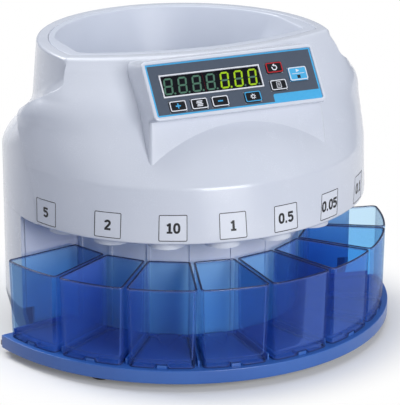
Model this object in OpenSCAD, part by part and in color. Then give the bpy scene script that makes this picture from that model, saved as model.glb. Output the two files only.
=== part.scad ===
// Countertop coin counting machine: a lens-shaped hopper over a spinning pocket disc,
// a sorting plate with graded apertures, eight chutes and eight pull-out coin boxes.
// Millimetres. Front is -Y, the operator's right is +X, Z is up and the feet stand on Z = 0.

/* [Coin boxes] */
// Angle from one box to the next
box_pitch = 19.58; // [16:0.02:20]
// Length of a box from back to front
box_depth = 69.7; // [60:0.1:80]
// Gap between neighbouring boxes at the rim
box_gap = 3.7; // [3:0.1:5]
// Height of a box
box_h = 68; // [50:1:76]
// Wall thickness of a box
box_wall = 2; // [1.5:0.1:3]
// Rounding of a box's front corners
box_corner = 7; // [4:0.5:10]
// Height of the skirt under a box's floor
box_skirt = 3.4; // [3:0.1:5]
// Width of the notch in the front of a box's skirt
notch_w = 9; // [8:0.5:12]

/* [Tray and base] */
// Width of the tray's edge ahead of the boxes
tray_edge = 4; // [3:0.5:8]
// Height of the tray above the feet
tray_h = 12; // [11:0.5:16]
// Half angle that the tray covers
tray_half = 81; // [79.5:0.5:81]
// Thickness of the tray's deck
tray_t = 3; // [2.5:0.5:4]
// Height of the guide ribs between boxes
rib_h = 5; // [3:0.5:8]
// Thickness of a guide rib
rib_t = 1.6; // [1:0.1:2]
// Height of a rubber foot
foot_h = 6; // [4:0.5:8]
// Radius of a rubber foot
foot_r = 10; // [8:0.5:12]
// Thickness of the base plate
base_t = 4; // [3:0.5:5]
// Height of the base pan's rim above the feet
pan_h = 28; // [24:1:34]

/* [Head] */
// Gap between the boxes and the head
head_gap = 31; // [28:0.5:40]
// Height of the head's lower band
band_h = 45; // [40:0.5:50]
// Height of the sloping cover above the band
slope_h = 92; // [84:0.5:100]
// Run of the sloping cover towards the back
slope_run = 77.4; // [70:0.1:86]
// Reach of the band ahead of the spouts
band_lead = 6.1; // [5:0.1:9]
// Radius of the band beyond the spouts' outer circle
band_over = 20.7; // [19:0.1:24]
// Growth of the radius from the band's edge to the crease
crease_over = 4.6; // [3:0.1:6]
// Set-back of the crease from the band's edge
crease_set = 8.8; // [7:0.1:10]
// Radius of the rim's front arc
rim_front_r = 260.7; // [230:0.5:290]
// Distance of the round rear wall's centre ahead of the disc's axis
rear_fwd = 9; // [8:0.5:11]
// Space between the sorting plate and the rear wall's outside
rear_space = 5.2; // [5:0.1:8]
// Set-back of the hopper's wall from the sorting plate's edge
hopper_in = 17.1; // [15:0.1:20]
// Drop from the rim to the shoulder at the sides
shoulder_drop = 39; // [35:1:44]
// Fall of the shoulder for each millimetre towards the back
shoulder_fall = 0.45; // [0.4:0.01:0.5]
// Horizontal wall thickness of the covers
cover_wall = 3.2; // [2.6:0.1:4]
// Width of the rim round the hopper insert
rim_w = 10; // [8:0.5:12]

/* [Mechanism] */
// Radius of the circle that coins travel on
coin_circle = 126; // [113:0.2:139]
// Play of a coin in its aperture
coin_play = 0.6; // [0.4:0.1:1]
// Radius of a pocket in the coin disc
pocket_r = 13.6; // [13:0.1:14]
// Number of pockets in the coin disc
pocket_n = 18; // [12:1:20]
// Width of the coin disc beyond the coin circle
disc_over = 15; // [14.5:0.1:17]
// Thickness of the coin disc
disc_t = 2.6; // [2.2:0.1:3]
// Radius of the disc's shaft
shaft_r = 5; // [4:0.5:5.5]
// Radius of the driven pulley
pulley_r = 42; // [36:1:46]
// Radius of the motor's pulley
pinion_r = 9; // [8:0.5:11]
// Distance from the rear wall in to the motor's shaft
motor_in = 61; // [57:1:65]
// Radius of the motor
motor_r = 18; // [15:0.5:20]
// Length of the motor
motor_h = 54; // [45:1:56]
// Radius of a chute's spout
spout_r = 15.5; // [15:0.1:16]
// Distance from the coin circle out to the spouts' circle
chute_over = 9; // [8:0.1:10]
// Distance from a box's back wall to the spouts' circle
chute_in = 24.7; // [22:0.1:30]

/* [Control panel] */
// Width of the panel overlay
panel_w = 149; // [136:0.5:164]
// Height of the panel overlay
panel_h = 45; // [42:0.5:50]
// Tilt of the panel from level
panel_tilt = 54; // [52:0.5:56]
// Drop from the rim to the panel's middle
panel_drop = 17.2; // [15:0.1:20]
// Clearance of the keypad board from the cover
panel_clear = 2.33; // [2:0.01:6]
// Width of the raised bezel
bezel_w = 4.5; // [3:0.5:6]
// Height of the bezel above the overlay
bezel_h = 1.2; // [0.8:0.1:2]
// Width of a key
key_w = 15; // [13:0.1:15.4]
// Height of a key
key_h = 9.4; // [8:0.1:9.6]
// Width of the start and stop key
start_w = 17; // [15:0.1:17.6]
// Height of the start and stop key
start_h = 12.2; // [10:0.1:13]
// How far a key stands above the overlay
key_rise = 0.9; // [0.7:0.1:1.4]
// Travel of a key
key_travel = 0.5; // [0.3:0.05:0.6]
// Height of the display window
window_h = 19.7; // [19:0.1:20.4]
// Pitch of the display digits
digit_pitch = 12.57; // [12.2:0.01:12.7]

/* [Rear panel] */
// Width of the rear connector panel
rear_panel_w = 96; // [90:1:104]
// Height of the rear connector panel
rear_panel_h = 46; // [42:1:50]
// Height of the rear panel's middle above the base plate
rear_panel_up = 56; // [50:1:60]
// Turn of the rocker between its two ends
rocker_turn = 16; // [10:1:18]

/* [Hidden] */
$fn = 96;
box_n = 8;

// Coin diameters, from the box at the operator's left
COIN_D = [25, 23, 22, 20.5, 19.5, 18.5, 17.5, 15.5];

// Clearances: loose pieces, running shafts, cover seams, and overshoot of a cut
slip = 0.3;
run = 0.05;
seam = 0.2;
eps = 0.5;

// Plan of the coin path, from the coin circle outwards
chute_r = coin_circle + chute_over;
chute_mid_r = coin_circle + chute_over / 2;
funnel_r = spout_r + 4;
disc_r = coin_circle + disc_over;
rail_in = disc_r + 2 * slip;
rail_w = 2.2;
plate_r = rail_in + rail_w;

// Plan of the boxes and the tray
box_back_r = chute_r - chute_in;
box_front_r = box_back_r + box_depth;
box_mid = box_back_r + box_depth / 2;
box_back_hw = box_back_r * tan(box_pitch / 2) - box_gap / 2;
tray_r = box_front_r + tray_edge;
tray_skirt = 3;

// Plan of the head: the front arcs by radius and front point, then the round back
band_r = chute_r + spout_r + band_over;
crease_r = band_r + crease_over;
band_front = chute_r + spout_r + band_lead;
crease_front = band_front - crease_set;
rim_front = crease_front - slope_run;
rear_r = plate_r + rear_fwd + rear_space;
hopper_r = plate_r - hopper_in;

// The box of the whole machine is centred on the origin, so the disc's axis stands off it
axis_y = (tray_r - (rear_r - rear_fwd)) / 2;

// Heights of the stack
base_top = foot_h + base_t;
tray_top = foot_h + tray_h;
pan_top = foot_h + pan_h;
band_low = tray_top + box_h + head_gap;
crease_z = band_low + band_h;
rim_z = crease_z + slope_h;
shoulder_z = rim_z - shoulder_drop;
deck_t = 3;
deck_top = band_low + deck_t;
chute_top = deck_top + 14;
plate_t = 1.5;
plate_top = chute_top + plate_t;
disc_z = plate_top + eps;
rail_top = disc_z + disc_t + 3.4;

// Drive: pulleys on a belt under the deck, with the bearings in a boss of the deck
pulley_h = 10;
belt_w = 6;
belt_t = 1.5;
bearing_r = 11;
bearing_h = 6;
boss_r = bearing_r + 4;
boss_drop = 15;
boss_low = band_low - boss_drop;
boss_top = chute_top - eps;
belt_z = boss_low - 3 - pulley_h / 2;
motor_off = rear_r - rear_fwd - motor_in;

// Half angle where the rear column starts, and the wall behind the boxes
column_half = tray_half + 1;
bay_set = 6.3;
bay_r = box_back_r - bay_set;
bay_t = 2.5;

// Panel frame: local z = 0 is the overlay's face
overlay_t = 1;
panel_t = 3;
console_wall = 3;
console_hw = panel_w / 2 + bezel_w + 2;
board_t = 1.6;
module_t = 8;
board_z = -overlay_t - panel_t - module_t - board_t - run;
board_hw = panel_w / 2 - 2.5;
board_hh = panel_h / 2 - 3;
window_w = 7 * digit_pitch + 2;
window_x = -20;
window_y = 3;
panel_z = rim_z - panel_drop;
board_low_z = panel_z - board_hh * sin(panel_tilt) + board_z * cos(panel_tilt);
panel_fwd = crease_front - slope_run * (board_low_z - crease_z) / slope_h + panel_clear
    - board_hh * cos(panel_tilt) - board_z * sin(panel_tilt);

// Key places on the panel: name, x, y, width, height
KEYS = [["plus", -54.9, -15, key_w, key_h], ["count", -36, -15, key_w, key_h],
    ["minus", -17.4, -15, key_w, key_h], ["set", 12.3, -14.5, key_w, key_h],
    ["reset", 37.9, 8.3, key_w, key_h], ["report", 37.9, -7.1, key_w, key_h],
    ["start", 57.9, 0.7, start_w, start_h]];

function mix(a, b, t) = a + (b - a) * t;
function ramp(z, z0, z1) = min(1, max(0, (z - z0) / (z1 - z0)));
function soft_max(a, b, k) = let (h = max(k - abs(a - b), 0) / k) max(a, b) + h * h * k / 4;
function soft_min(a, b, k) = -soft_max(-a, -b, k);
function box_az(i) = (i - (box_n - 1) / 2) * box_pitch;

// Front cover: at each height a circle, given by its radius and the centre's distance ahead of the axis
function front_r(z) = z < crease_z ? mix(band_r, crease_r, ramp(z, band_low, crease_z))
    : mix(crease_r, rim_front_r, ramp(z, crease_z, rim_z));
function front_reach(z) = z < crease_z ? mix(band_front, crease_front, ramp(z, band_low, crease_z))
    : mix(crease_front, rim_front, ramp(z, crease_z, rim_z));
function front_c(z) = front_reach(z) - front_r(z);

// Rear shell: hopper wall above, round body below and a falling shoulder between them
wall_lean = 0.085;
shoulder_in_r = hopper_r + 10.3;
shoulder_mid_r = shoulder_in_r + 8;
shoulder_steep = 1.1;
fall_end = -60;
fall_soft = 30;
shoulder_soft = 9;
neck_soft = 6;
function wall_r(z) = hopper_r + (rim_z - z) * wall_lean;
function shoulder_at(psi) = shoulder_z
    + shoulder_fall * soft_max(rear_fwd + shoulder_mid_r * cos(psi), fall_end, fall_soft);
function cone_r(psi, z) = shoulder_in_r + (shoulder_at(psi) - z) / shoulder_steep;
function shell_r(psi, z) = soft_max(wall_r(z), soft_min(rear_r, cone_r(psi, z), shoulder_soft), neck_soft);

// Half angle on the front circle where it meets the rear shell, each drawn in by its own inset
function front_gap(phi, z, of, og) = let (r = front_r(z) - of, x = r * sin(phi),
    u = front_c(z) + r * cos(phi) - rear_fwd) norm([x, u]) - shell_r(atan2(x, u), z) + og;
function front_half(z, of, og, a = 0, b = 140, n = 24) = n == 0 ? (a + b) / 2
    : front_gap((a + b) / 2, z, of, og) < 0 ? front_half(z, of, og, (a + b) / 2, b, n - 1)
    : front_half(z, of, og, a, (a + b) / 2, n - 1);
// Half angle on the rear shell where it meets the front cover
function rear_gap(psi, z, of, og) = let (r = shell_r(psi, z) - og, x = r * sin(psi),
    u = rear_fwd + r * cos(psi) - front_c(z)) norm([x, u]) - front_r(z) + of;
function rear_half(z, of, og, a = 0, b = 180, n = 24) = n == 0 ? (a + b) / 2
    : rear_gap((a + b) / 2, z, of, og) > 0 ? rear_half(z, of, og, (a + b) / 2, b, n - 1)
    : rear_half(z, of, og, a, (a + b) / 2, n - 1);

function front_pt(s, z, of, half) = let (r = front_r(z) - of, phi = s * half)
    [r * sin(phi), -front_c(z) - r * cos(phi), z];
function rear_pt(s, z, og, half) = let (psi = half + s * (360 - 2 * half), r = shell_r(psi, z) - og)
    [r * sin(psi), -rear_fwd - r * cos(psi), z];
function at_height(p, z) = [p[0], p[1], z];

module at_axis() {
    translate([0, axis_y, 0]) children();
}

module at_box(i) {
    at_axis() rotate([0, 0, box_az(i)]) children();
}

module on_panel() {
    at_axis() translate([0, -panel_fwd, panel_z]) rotate([panel_tilt, 0, 0]) children();
}

module block(x0, x1, y0, y1, z0, z1) {
    translate([x0, y0, z0]) cube([x1 - x0, y1 - y0, z1 - z0]);
}

// Block centred on x = y = 0 in its plan
module slab(w, d, z0, z1) {
    block(-w / 2, w / 2, -d / 2, d / 2, z0, z1);
}

module ring(ro, ri, z0, z1) {
    translate([0, 0, z0]) difference() {
        cylinder(h = z1 - z0, r = ro);
        translate([0, 0, -eps]) cylinder(h = z1 - z0 + 2 * eps, r = ri);
    }
}

// Wedge of the plan within a half angle of the front
module front_wedge(half, z0, z1) {
    far = 2 * tray_r;
    steps = 6;
    translate([0, 0, z0]) linear_extrude(height = z1 - z0) polygon(concat([[0, 0]],
        [for (k = [-steps : steps]) far * [sin(half * k / steps), -cos(half * k / steps)]]));
}

// Closed shell between an outer and an inner chain of points for each column
module shell_sweep(outer, inner) {
    n = len(outer);
    m = len(outer[0]);
    points = [for (j = [0 : n - 1]) for (c = [outer[j], inner[j]]) for (p = c) p];
    function at(j, k, side) = (j * 2 + side) * m + k;
    function pair(a, b, c, d) = [[a, b, c], [a, c, d]];
    walls = [for (j = [0 : n - 2]) for (k = [0 : m - 2]) for (f = concat(
        pair(at(j, k, 0), at(j, k + 1, 0), at(j + 1, k + 1, 0), at(j + 1, k, 0)),
        pair(at(j, k, 1), at(j + 1, k, 1), at(j + 1, k + 1, 1), at(j, k + 1, 1)))) f];
    edges = [for (j = [0 : n - 2]) for (f = concat(
        pair(at(j, 0, 0), at(j + 1, 0, 0), at(j + 1, 0, 1), at(j, 0, 1)),
        pair(at(j, m - 1, 0), at(j, m - 1, 1), at(j + 1, m - 1, 1), at(j + 1, m - 1, 0)))) f];
    caps = [for (k = [0 : m - 2]) for (f = concat(
        pair(at(0, k, 0), at(0, k, 1), at(0, k + 1, 1), at(0, k + 1, 0)),
        pair(at(n - 1, k, 0), at(n - 1, k + 1, 0), at(n - 1, k + 1, 1), at(n - 1, k, 1)))) f];
    polyhedron(points = points, faces = concat(walls, edges, caps), convexity = 8);
}

// Rim section shared by both covers: inset and depth below the rim, outer chain then inner chain
ledge_w = 3;
ledge_t = 3;
rim_land = 10;
RIM_OUT = [[0, 0], [cover_wall, 0], [rim_w, 0], [rim_w, ledge_t], [rim_w + ledge_w, ledge_t]];
RIM_IN = [[cover_wall, 3 * ledge_t], [cover_wall + ledge_t / 2, 2.5 * ledge_t],
    [cover_wall + ledge_t, 2 * ledge_t], [rim_w, 2 * ledge_t], [rim_w + ledge_w, 2 * ledge_t]];
lap = cover_wall + seam;

// Mitre of the two covers on the rim: each one's inset at the seam from the other's
function rear_from_front(f) = f < rim_w ? max(0, (f - cover_wall) * rim_w / (rim_w - cover_wall)) : f;
function front_from_rear(g) = g < rim_w ? lap + g * (rim_w + seam - lap) / rim_w : g + seam;

band_rows = 3;
slope_rows = 18;
crease_soft = 2;
FRONT_Z = concat([for (k = [0 : band_rows]) mix(band_low, crease_z - crease_soft, k / band_rows)], [crease_z],
    [for (k = [1 : slope_rows]) mix(crease_z, rim_z - rim_land, k / slope_rows)]);
rear_rows = 21;
REAR_Z = [for (k = [0 : rear_rows]) mix(band_low, rim_z - rim_land, k / rear_rows)];

module front_cover() {
    columns = 36;
    body_half = [for (z = FRONT_Z) front_half(z, 0, 0)];
    lining_half = [for (z = FRONT_Z) front_half(z, cover_wall, 0)];
    rim_half = [for (p = RIM_OUT) front_half(rim_z, p[0], rear_from_front(p[0]))];
    under_half = [for (p = RIM_IN) front_half(rim_z - p[1], p[0], rear_from_front(p[0]))];
    rows = len(FRONT_Z) - 1;
    rim_rows = len(RIM_OUT) - 1;
    outer = [for (j = [0 : columns]) let (s = 2 * j / columns - 1) concat(
        [for (k = [0 : rows]) front_pt(s, FRONT_Z[k], 0, body_half[k])],
        [for (k = [0 : rim_rows])
            at_height(front_pt(s, rim_z, RIM_OUT[k][0], rim_half[k]), rim_z - RIM_OUT[k][1])])];
    inner = [for (j = [0 : columns]) let (s = 2 * j / columns - 1) concat(
        [for (k = [0 : rows]) front_pt(s, FRONT_Z[k], cover_wall, lining_half[k])],
        [for (k = [0 : rim_rows]) front_pt(s, rim_z - RIM_IN[k][1], RIM_IN[k][0], under_half[k])])];
    color("ghostwhite") at_axis() shell_sweep(outer, inner);
}

module rear_shell() {
    columns = 48;
    body_half = [for (z = REAR_Z) rear_half(z, lap, 0)];
    lining_half = [for (z = REAR_Z) rear_half(z, lap, cover_wall)];
    rim_half = [for (p = RIM_OUT) rear_half(rim_z, front_from_rear(p[0]), p[0])];
    under_half = [for (p = RIM_IN) rear_half(rim_z - p[1], front_from_rear(p[0]), p[0])];
    rows = len(REAR_Z) - 1;
    rim_rows = len(RIM_OUT) - 1;
    outer = [for (j = [0 : columns]) let (s = j / columns) concat(
        [for (k = [0 : rows]) rear_pt(s, REAR_Z[k], 0, body_half[k])],
        [for (k = [0 : rim_rows])
            at_height(rear_pt(s, rim_z, RIM_OUT[k][0], rim_half[k]), rim_z - RIM_OUT[k][1])])];
    inner = [for (j = [0 : columns]) let (s = j / columns) concat(
        [for (k = [0 : rows]) rear_pt(s, REAR_Z[k], cover_wall, lining_half[k])],
        [for (k = [0 : rim_rows]) rear_pt(s, rim_z - RIM_IN[k][1], RIM_IN[k][0], under_half[k])])];
    color("whitesmoke") at_axis() shell_sweep(outer, inner);
}

// Places of the screws that hold the tray, as azimuths at one radius
screw_r = tray_r - 16;
SCREW_AZ = [-3 * box_pitch, -box_pitch, box_pitch, 3 * box_pitch];
screw_shank = 1.5;
screw_head = 3;
head_t = 1.8;
boss_out = 4.5;

module at_base_screws(z) {
    for (a = SCREW_AZ) rotate([0, 0, a]) translate([0, -screw_r, z]) children();
}

pan_chamfer = 6;
pan_lip = 4;

module base_pan() {
    inner = rear_r - cover_wall;
    color("darkgray") at_axis() difference() {
        union() {
            difference() {
                translate([0, -rear_fwd, 0]) rotate_extrude()
                    polygon([[0, foot_h], [rear_r - pan_chamfer, foot_h], [rear_r, pan_top - pan_lip],
                        [rear_r, pan_top], [inner, pan_top], [inner, pan_top - pan_lip],
                        [inner - pan_chamfer, base_top], [0, base_top]]);
                front_wedge(column_half, 0, pan_top + eps);
            }
            intersection() {
                translate([0, 0, foot_h]) cylinder(h = base_t, r = tray_r - tray_skirt - slip);
                front_wedge(column_half + run, foot_h, base_top);
            }
        }
        at_base_screws(foot_h - eps) {
            cylinder(h = base_t + 2 * eps, r = screw_shank + run);
            cylinder(h = head_t + seam + eps, r = screw_head + seam);
        }
    }
}

// Feet as azimuth and radius
foot_front_in = 18;
foot_rear_in = 40;
FEET = [[-47.5, tray_r - foot_front_in], [47.5, tray_r - foot_front_in], [-140, rear_r - foot_rear_in],
    [140, rear_r - foot_rear_in]];

module rubber_feet() {
    color("black") at_axis() for (f = FEET) rotate([0, 0, f[0]]) translate([0, -f[1], 0]) rotate_extrude()
        polygon([[0, 0], [0.7 * foot_r, 0], [0.9 * foot_r, foot_h / 5], [foot_r, foot_h / 2],
            [foot_r, foot_h], [0, foot_h]]);
}

rib_front = 6;
rib_back = 4;
tab_w = notch_w - 1;
tab_l = 8;
tab_set = 1;
tab_h = box_skirt - 0.8;

module coin_tray() {
    color("steelblue") at_axis() difference() {
        union() {
            intersection() {
                union() {
                    ring(tray_r, bay_r + slip, tray_top - tray_t, tray_top);
                    ring(tray_r, tray_r - tray_skirt, foot_h + eps, tray_top);
                }
                front_wedge(tray_half, 0, tray_top + eps);
            }
            for (i = [0 : box_n]) rotate([0, 0, box_az(i - 0.5)])
                block(-rib_t / 2, rib_t / 2, rib_front - box_front_r, -box_back_r - rib_back,
                    tray_top - eps, tray_top + rib_h);
            for (i = [0 : box_n - 1]) rotate([0, 0, box_az(i)])
                block(-tab_w / 2, tab_w / 2, tab_set - box_front_r, tab_set + tab_l - box_front_r,
                    tray_top - eps, tray_top + tab_h);
            at_base_screws(base_top) cylinder(h = tray_top - base_top - eps, r = boss_out);
        }
        at_base_screws(base_top - eps) cylinder(h = tray_top - base_top - 2 * eps, r = screw_shank + run);
    }
}

module base_screws() {
    color("silver") at_axis() at_base_screws(foot_h + seam) {
        cylinder(h = head_t, r = screw_head);
        cylinder(h = tray_top - foot_h - 3, r = screw_shank);
    }
}

bay_rib_w = 3;
bay_rib_out = 1.2;
end_lap = 1;

module bay_wall() {
    end_in = end_lap - bay_r;
    end_low = pan_chamfer + cover_wall + eps - rear_r;
    end_out = cover_wall + 3 * seam - rear_r - rear_fwd * cos(column_half);
    color("lightsteelblue") at_axis() {
        intersection() {
            ring(bay_r, bay_r - bay_t, base_top, band_low);
            front_wedge(column_half, base_top - eps, band_low + eps);
        }
        for (i = [0 : box_n]) rotate([0, 0, box_az(i - 0.5)])
            block(-bay_rib_w / 2, bay_rib_w / 2, -bay_r - bay_rib_out, end_in, tray_top + 1, band_low - 1);
        for (s = [-1, 1]) rotate([0, 0, s * column_half]) translate([s > 0 ? -end_lap : -bay_t, 0, 0])
            rotate([90, 0, 90]) linear_extrude(height = bay_t + end_lap)
                polygon([[end_in, base_top], [end_in, band_low - 1], [end_out, band_low - 1],
                    [end_out, pan_top + eps], [end_low, pan_top + eps], [end_low, base_top]]);
    }
}

// Rear pocket for the connector panel
panel_face_y = rear_r - rear_fwd - 10;
panel_plate_t = 3;
pocket_wall = 2.5;
pocket_lip = 8;
rear_panel_z = base_top + rear_panel_up;

module rear_pocket(grow, y0, y1) {
    translate([0, 0, rear_panel_z]) block(-rear_panel_w / 2 - grow, rear_panel_w / 2 + grow, y0, y1,
        -rear_panel_h / 2 - grow, rear_panel_h / 2 + grow);
}

module at_rear_screws() {
    inset = pocket_lip / 2;
    for (x = [-1, 1]) for (z = [-1, 1])
        translate([x * (rear_panel_w / 2 - inset), panel_face_y,
            rear_panel_z + z * (rear_panel_h / 2 - inset)]) rotate([90, 0, 0]) children();
}

vent_n = 5;
vent_pitch = 3.4;
vent_w = 3;
vent_h = 13;
vent_drop = 7;
rear_screw_l = 5;

module rear_column() {
    lip_y = panel_face_y - panel_plate_t;
    color("whitesmoke") at_axis() difference() {
        union() {
            difference() {
                translate([0, -rear_fwd, 0]) ring(rear_r, rear_r - cover_wall, pan_top, band_low);
                front_wedge(column_half, 0, band_low + eps);
            }
            intersection() {
                rear_pocket(pocket_wall, lip_y - pocket_wall, 2 * rear_r);
                translate([0, -rear_fwd, pan_top]) cylinder(h = band_low - pan_top, r = rear_r - eps);
            }
        }
        rear_pocket(0, lip_y, 2 * rear_r);
        rear_pocket(-pocket_lip, 0, lip_y + eps);
        for (k = [-vent_n : vent_n]) rotate([0, 0, 180 + k * vent_pitch])
            block(-vent_w / 2, vent_w / 2, -rear_r - 10, 20 - rear_r,
                band_low - vent_drop - vent_h, band_low - vent_drop);
        at_rear_screws() cylinder(h = 2 * rear_screw_l, r = screw_shank + run);
    }
}

// Connectors on the rear panel: their places across it, and body widths and heights
inlet_x = -24;
inlet_body = [27.2, 19.6];
inlet_flange = [34, 25];
inlet_mouth = [24, 16];
inlet_depth = 16;
rocker_x = 10;
switch_size = [13.8, 20.2];
switch_flange = [17.2, 24];
switch_mouth = [11.2, 18.4];
switch_depth = 11;
fuse_x = 33;
fuse_r = 6;
pivot_y = panel_face_y - 3;
pivot_r = 1;
PINS = [[-7, -1.5], [7, -1.5], [0, 2.5]];
pin_size = [2, 4];

// Block on the rear panel with a width and height, from y0 to y1 behind the axis
module rear_block(size, grow, y0, y1) {
    block(-size[0] / 2 - grow, size[0] / 2 + grow, y0, y1, -size[1] / 2 - grow, size[1] / 2 + grow);
}

module at_rear(x) {
    translate([x, 0, rear_panel_z]) children();
}

module rear_panel() {
    color("dimgray") at_axis() difference() {
        rear_pocket(-slip, panel_face_y - panel_plate_t, panel_face_y);
        at_rear(inlet_x) rear_block(inlet_body, slip, panel_face_y - 20, panel_face_y + 20);
        at_rear(rocker_x) rear_block(switch_size, slip, panel_face_y - 20, panel_face_y + 20);
        at_rear(fuse_x) translate([0, panel_face_y + 20, 0]) rotate([90, 0, 0])
            cylinder(h = 40, r = fuse_r + slip);
        at_rear_screws() translate([0, 0, -eps]) cylinder(h = 2 * rear_screw_l, r = screw_shank + run);
    }
}

module rear_screws() {
    color("silver") at_axis() at_rear_screws() {
        translate([0, 0, -head_t]) cylinder(h = head_t, r = screw_head);
        cylinder(h = rear_screw_l, r = screw_shank);
    }
}

module power_inlet() {
    flange_t = 2.5;
    floor_t = 4;
    color("black") at_axis() at_rear(inlet_x) difference() {
        union() {
            rear_block(inlet_flange, 0, panel_face_y, panel_face_y + flange_t);
            rear_block(inlet_body, 0, panel_face_y - inlet_depth - floor_t, panel_face_y + 1);
        }
        rear_block(inlet_mouth, 0, panel_face_y - inlet_depth, panel_face_y + 10);
        for (p = PINS) translate([p[0], 0, p[1]])
            rear_block(pin_size, 2 * run, panel_face_y - 2 * inlet_depth, panel_face_y - 10);
    }
}

module inlet_pins() {
    color("silver") at_axis() at_rear(inlet_x) for (p = PINS) translate([p[0], 0, p[1]])
        rear_block(pin_size, 0, panel_face_y - inlet_depth - 8, panel_face_y - 2);
}

module switch_body() {
    flange_t = 2;
    floor_t = 3;
    color("black") at_axis() at_rear(rocker_x) difference() {
        union() {
            rear_block(switch_flange, 0, panel_face_y, panel_face_y + flange_t);
            rear_block(switch_size, 0, panel_face_y - switch_depth - floor_t, panel_face_y + 1);
        }
        rear_block(switch_mouth, 0, panel_face_y - switch_depth, panel_face_y + 10);
        translate([-switch_mouth[0] / 2 - 0.8, pivot_y, 0]) rotate([0, 90, 0])
            cylinder(h = switch_mouth[0] + 1.6, r = pivot_r + run);
    }
}

module switch_rocker() {
    w = switch_mouth[0] - 2 * slip;
    color("firebrick") at_axis() at_rear(rocker_x) translate([0, pivot_y, 0]) {
        rotate([rocker_turn / 2, 0, 0]) translate([-w / 2, 0, 0]) rotate([90, 0, 90])
            linear_extrude(height = w)
            polygon([[-3, -4], [-3, 4], [5.2, 7], [4.3, 0], [5.2, -7]]);
        translate([-w / 2 - 0.9, 0, 0]) rotate([0, 90, 0]) cylinder(h = w + 1.8, r = pivot_r);
    }
}

module fuse_holder() {
    cap_t = 4;
    color("black") at_axis() at_rear(fuse_x) translate([0, panel_face_y, 0]) rotate([90, 0, 0]) {
        translate([0, 0, -cap_t]) cylinder(h = cap_t, r = fuse_r + 2);
        cylinder(h = 26, r = fuse_r);
    }
}

// Lens outline of the hopper: a front arc and a rear arc, both drawn in by an inset
module lens(inset, z0, z1) {
    intersection() {
        translate([0, rim_front_r - rim_front, z0]) cylinder(h = z1 - z0, r = rim_front_r - inset);
        translate([0, -rear_fwd, z0]) cylinder(h = z1 - z0, r = hopper_r - inset);
    }
}

bowl_wall = 2.5;
bowl_hole_r = 56;
bowl_foot = 2;
mouth_w = 6;
ramp_in = 21.7;
ramp_tilt = 27;
front_fall = 8;

// Radii of the funnel's round back and of its front wall at a height
function funnel_back(z, grow) = grow + mix(bowl_hole_r + rear_fwd + 1, hopper_r - rim_w - mouth_w,
    (z - rail_top) / (rim_z - rail_top));
function funnel_front(z, grow) = grow + rim_front_r - rim_w - mouth_w
    - front_fall * (rim_z - z) / (rim_z - rail_top);

// Funnel under the lens: a round back, a front wall and two flat side ramps
module funnel(grow, z0, z1) {
    low = rail_top - 1;
    high = rim_z + 1;
    far = 2 * tray_r;
    intersection() {
        translate([0, -rear_fwd, low])
            cylinder(h = high - low, r1 = funnel_back(low, grow), r2 = funnel_back(high, grow));
        translate([0, rim_front_r - rim_front, low])
            cylinder(h = high - low, r1 = funnel_front(low, grow), r2 = funnel_front(high, grow));
        for (s = [-1, 1]) translate([s * (hopper_r - ramp_in + grow), 0, rim_z]) rotate([0, s * ramp_tilt, 0])
            block(s > 0 ? -far : 0, s > 0 ? 0 : far, -far, far, -far, far);
        block(-far, far, -far, far, z0, z1);
    }
}

module hopper_bowl() {
    color("aliceblue") at_axis() difference() {
        union() {
            lens(rim_w + slip, rim_z - ledge_t, rim_z);
            funnel(bowl_wall, rail_top, rim_z - 1);
            translate([0, 0, rail_top]) cylinder(h = bowl_foot, r = plate_r);
        }
        funnel(0, rail_top + 2 * bowl_foot, rim_z + eps);
        intersection() {
            funnel(0, rail_top - eps, rail_top + 3 * bowl_foot);
            translate([0, 0, rail_top - eps]) cylinder(h = 3 * bowl_foot, r = bowl_hole_r);
        }
    }
}

spout_drop = 7;
spout_wall = 1.8;
throat_r = 8;

module chute_deck() {
    color("white") at_axis() difference() {
        union() {
            intersection() {
                translate([0, -front_c(deck_top), band_low])
                    cylinder(h = deck_t, r = front_r(deck_top) - cover_wall - slip);
                translate([0, -rear_fwd, band_low]) cylinder(h = deck_t, r = rear_r - cover_wall - slip);
            }
            translate([0, 0, boss_low]) cylinder(h = boss_top - boss_low, r = boss_r);
        }
        for (i = [0 : box_n - 1]) rotate([0, 0, box_az(i)]) translate([0, -chute_r, band_low - eps])
            cylinder(h = deck_t + 2 * eps, r = spout_r + slip);
        translate([0, 0, boss_low - eps]) cylinder(h = boss_top - boss_low + 2 * eps, r = bearing_r - 3);
        translate([0, 0, boss_low - eps]) cylinder(h = bearing_h + eps, r = bearing_r + run);
        translate([0, 0, boss_top - bearing_h]) cylinder(h = bearing_h + eps, r = bearing_r + run);
    }
}

// Alike chutes for a run of boxes, each standing on the deck with its spout through a hole
module chutes(first, last) {
    color("white") at_axis() for (i = [first : last]) rotate([0, 0, box_az(i)]) difference() {
        union() {
            translate([0, -chute_mid_r, deck_top]) cylinder(h = chute_top - deck_top, r = funnel_r);
            translate([0, -chute_r, band_low - spout_drop])
                cylinder(h = spout_drop + deck_t + 1, r = spout_r);
        }
        translate([0, -chute_mid_r, deck_top])
            cylinder(h = chute_top - deck_top + eps, r1 = throat_r, r2 = funnel_r - spout_wall);
        translate([0, -chute_r, band_low - spout_drop - 1])
            cylinder(h = 2 * spout_drop, r = spout_r - spout_wall);
    }
}

module coin_chutes_left() {
    chutes(0, box_n / 2 - 1);
}

module coin_chutes_right() {
    chutes(box_n / 2, box_n - 1);
}

module shaft_bearings() {
    color("silver") at_axis() {
        ring(bearing_r, shaft_r + run, boss_low, boss_low + bearing_h);
        ring(bearing_r, shaft_r + run, boss_top - bearing_h, boss_top);
    }
}

module sorting_plate() {
    color("silver") at_axis() difference() {
        ring(plate_r, boss_r + 1, chute_top, plate_top);
        for (i = [0 : box_n - 1]) rotate([0, 0, box_az(i)]) translate([0, -coin_circle, chute_top - eps])
            cylinder(h = plate_t + 2 * eps, r = (COIN_D[i] + coin_play) / 2);
    }
}

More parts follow.
